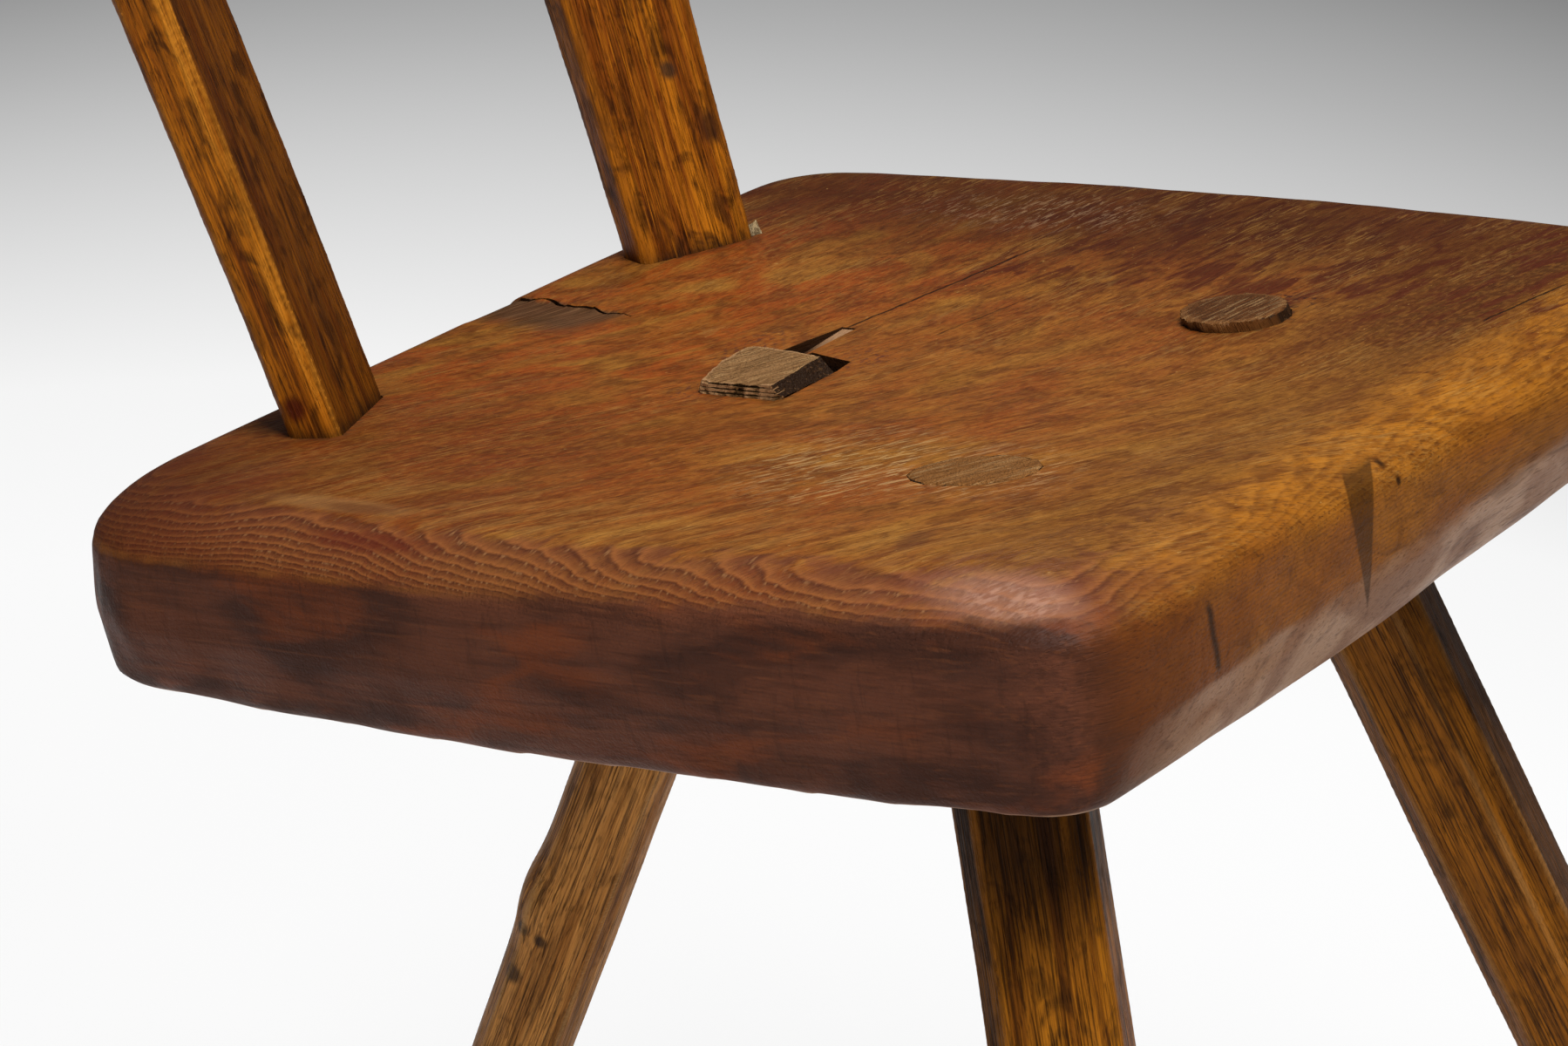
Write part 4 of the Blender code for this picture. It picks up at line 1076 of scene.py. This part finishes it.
def make_legs():
    """Three staked legs, each with the end of its tenon in the seat's top."""
    rear = dict(light="#d29048", mid="#9c6126", dark="#361c08", rub="#b5854c", streaks=0.55, mottle=0.30,
                tenon=("#987046", "#6a4928", "#b48a60", 0.80),
                spots_and_shade=[((-0.044, 0.0954, 0.2233), (0.007, 0.0045, 0.0035), "#1c0f07"),
                       ((-0.0452, 0.0880, 0.2201), (0.006, 0.0035, 0.0035), "#1c0f07"),
                       ((-0.0451, 0.1011, 0.2052), (0.006, 0.006, 0.005), "#24140a")])
    right = dict(light="#bd7418", mid="#733e0a", dark="#1b0c03", rub="#a0621c", streaks=0.75, mottle=0.60,
                 tenon=("#8a5c2e", "#6f431a", "#8c6338", 0.0), dark_wood_and_shade_side=(-0.85, 0.5, 0),
                 # The dark spot at this leg's top, under the seat, is a painted shadow
                 spots_and_shade=[((-0.120, -0.160, 0.356), (0.045, 0.045, 0.060), "#1b0c03")])
    left = dict(light="#9c5d12", mid="#683a0a", dark="#1b0c03", rub="#a06c34", streaks=0.70, mottle=0.45,
                tenon=("#653c1a", "#46260f", "#946538", 0.35), dark_wood_and_shade_side=(0.28, -0.89, 0.37))
    make_stick("rear_leg", "hewn_rear_leg", rear, ["seat_plank"],
               knot=REAR_LEG_KNOT, cutters=tenon_cutters())
    make_stick("right_front_leg", "hewn_right_front_leg", right, ["seat_plank"])
    make_stick("left_front_leg", "hewn_left_front_leg", left, ["seat_plank"])


def make_back():
    """Back posts, crest rail, its pegs and the shim."""
    golden = dict(light="#ae640f", mid="#773907", dark="#2b1203", rub="#c27a22", streaks=0.45, mottle=0.75,
                  lines=0.45)
    knots = [((0.1084, 0.1328, 0.4768), (0.0040, 0.006, 0.0045), "#33241a"),
             ((0.1154, 0.1212, 0.4563), (0.006, 0.006, 0.009), "#34190a")]
    stain_mark = [((-0.1153, 0.1176, 0.4266), (0.005, 0.006, 0.006), "#460f08")]
    rail = dict(light="#92500c", mid="#6d3408", dark="#2e1505", rub="#ae6c1e", streaks=0.65, mottle=0.55)
    peg = dict(light="#744a20", mid="#593616", dark="#2c190a", rub="#8a5c2a", streaks=0.30, mottle=0.30)
    shim = dict(light="#cdb389", mid="#b3966a", dark="#7d6340", rub="#d6c094", streaks=0.25, mottle=0.15)
    make_stick("left_back_post", "hewn_left_post",
               dict(golden, light="#b86c11", rub="#8a4e10", spots_and_shade=knots), ["seat_plank"])
    make_stick("right_back_post", "hewn_right_post",
               dict(golden, spots_and_shade=stain_mark, dark_wood_and_shade_side=(0.34, -0.88, 0.34)), ["seat_plank"])
    make_stick("crest_rail", "hewn_crest_rail", rail, ["right_back_post", "left_back_post"],
               spacing=RAIL_SPACING)
    for side in ("right", "left"):
        make_stick(side + "_crest_peg", side + "_rail_peg", peg, ["crest_rail"],
                   spacing=PEG_SPACING)
    make_stick("left_post_shim", "cleft_shim", shim, ["seat_plank"], spacing=PEG_SPACING)


def make_camera():
    """Camera at the photograph's place and angle."""
    lens = bpy.data.cameras.new("camera")
    lens.lens = CAMERA_LENS
    lens.sensor_width = SENSOR_WIDTH
    camera = bpy.data.objects.new("camera", lens)
    turn = Matrix.Rotation(math.radians(CAMERA_AZIMUTH), 4, "Z")
    turn = turn @ Matrix.Rotation(math.radians(90 - CAMERA_ELEVATION), 4, "X")
    turn = turn @ Matrix.Rotation(math.radians(CAMERA_ROLL), 4, "Z")
    camera.matrix_world = Matrix.Translation(CAMERA_PLACE) @ turn
    bpy.context.scene.collection.objects.link(camera)
    bpy.context.scene.camera = camera


def softbox(name, place, size, power):
    """Square soft light aimed at the seat."""
    lamp = bpy.data.lights.new(name, "AREA")
    lamp.size = size
    lamp.energy = power
    light = bpy.data.objects.new(name, lamp)
    light.location = place
    aim = LIGHT_AIM - Vector(place)
    light.rotation_euler = aim.to_track_quat("-Z", "Y").to_euler()
    bpy.context.scene.collection.objects.link(light)


def seen_directly(tree):
    """Share that is one for camera, glossy and transmission rays."""
    path = add(tree, "LightPath")
    seen = add(tree, "Math", {0: path.outputs["Is Camera Ray"], 1: path.outputs["Is Glossy Ray"]},
               operation="MAXIMUM")
    return add(tree, "Math", {0: seen, 1: path.outputs["Is Transmission Ray"]}, operation="MAXIMUM")


def make_floor():
    """Pale floor, white under the stool and grey far behind it."""
    bpy.ops.mesh.primitive_circle_add(vertices=96, radius=FLOOR_RADIUS, fill_type="NGON")
    floor = bpy.context.object
    floor.name = "floor"
    material = bpy.data.materials.new("pale_floor")
    material.use_nodes = True
    tree = material.node_tree
    tree.nodes.clear()
    place = add(tree, "TexCoord")
    turned = add(tree, "Mapping", {"Vector": place.outputs["Object"],
                                   "Rotation": (0, 0, math.radians(FLOOR_SHADE_TURN))},
                 vector_type="TEXTURE")
    x, y, _ = add(tree, "SeparateXYZ", {0: turned}).outputs
    aside = add(tree, "Math", {0: x, 1: FLOOR_SHADE_MIDDLE}, operation="SUBTRACT")
    aside = add(tree, "Math", {0: aside, 1: aside}, operation="MULTIPLY")
    away = layered_sum(tree, y, [(FLOOR_SHADE_BEND, aside)])
    far = add(tree, "MapRange", {"Value": away, "From Min": FLOOR_SHADE_START, "From Max": FLOOR_SHADE_END})
    shade = add(tree, "ValToRGB", {0: far}, stops=[
        (0.0, "#ffffff"), (0.21, "#fafafa"), (0.73, "#b6b6b6"), (1.0, "#888888")])
    paint = add(tree, "BsdfDiffuse", {"Color": shade})
    glow = add(tree, "Emission", {"Color": shade, "Strength": 1.0})
    share = add(tree, "Math", {0: seen_directly(tree), 1: FLOOR_GLOW}, operation="MULTIPLY")
    mix = add(tree, "MixShader", {0: share, 1: paint, 2: glow})
    add(tree, "OutputMaterial", {"Surface": mix})
    floor.data.materials.append(material)


def make_world():
    """Even white surround that lights softly and looks pale grey."""
    world = bpy.data.worlds.new("studio")
    world.use_nodes = True
    tree = world.node_tree
    tree.nodes.clear()
    light = add(tree, "Background", {"Color": linear("#ffffff"), "Strength": SURROUND_LIGHT})
    seen = add(tree, "Background", {"Color": linear("#c9cbcd"), "Strength": 1.0})
    path = add(tree, "LightPath")
    mix = add(tree, "MixShader", {0: path.outputs["Is Camera Ray"], 1: light, 2: seen})
    add(tree, "OutputWorld", {"Surface": mix})
    bpy.context.scene.world = world


def make_studio():
    """Camera, floor, surround and soft lights."""
    bpy.context.scene.view_settings.view_transform = "Standard"
    make_camera()
    make_floor()
    make_world()
    softbox("key", place=(-0.40, -0.82, 1.98), size=1.0, power=41)
    softbox("back", place=(0.92, 0.45, 1.88), size=0.45, power=6)
    softbox("fill", place=(-2.2, -0.2, 1.1), size=1.2, power=5)


make_studio()
make_seat()
make_legs()
make_back()
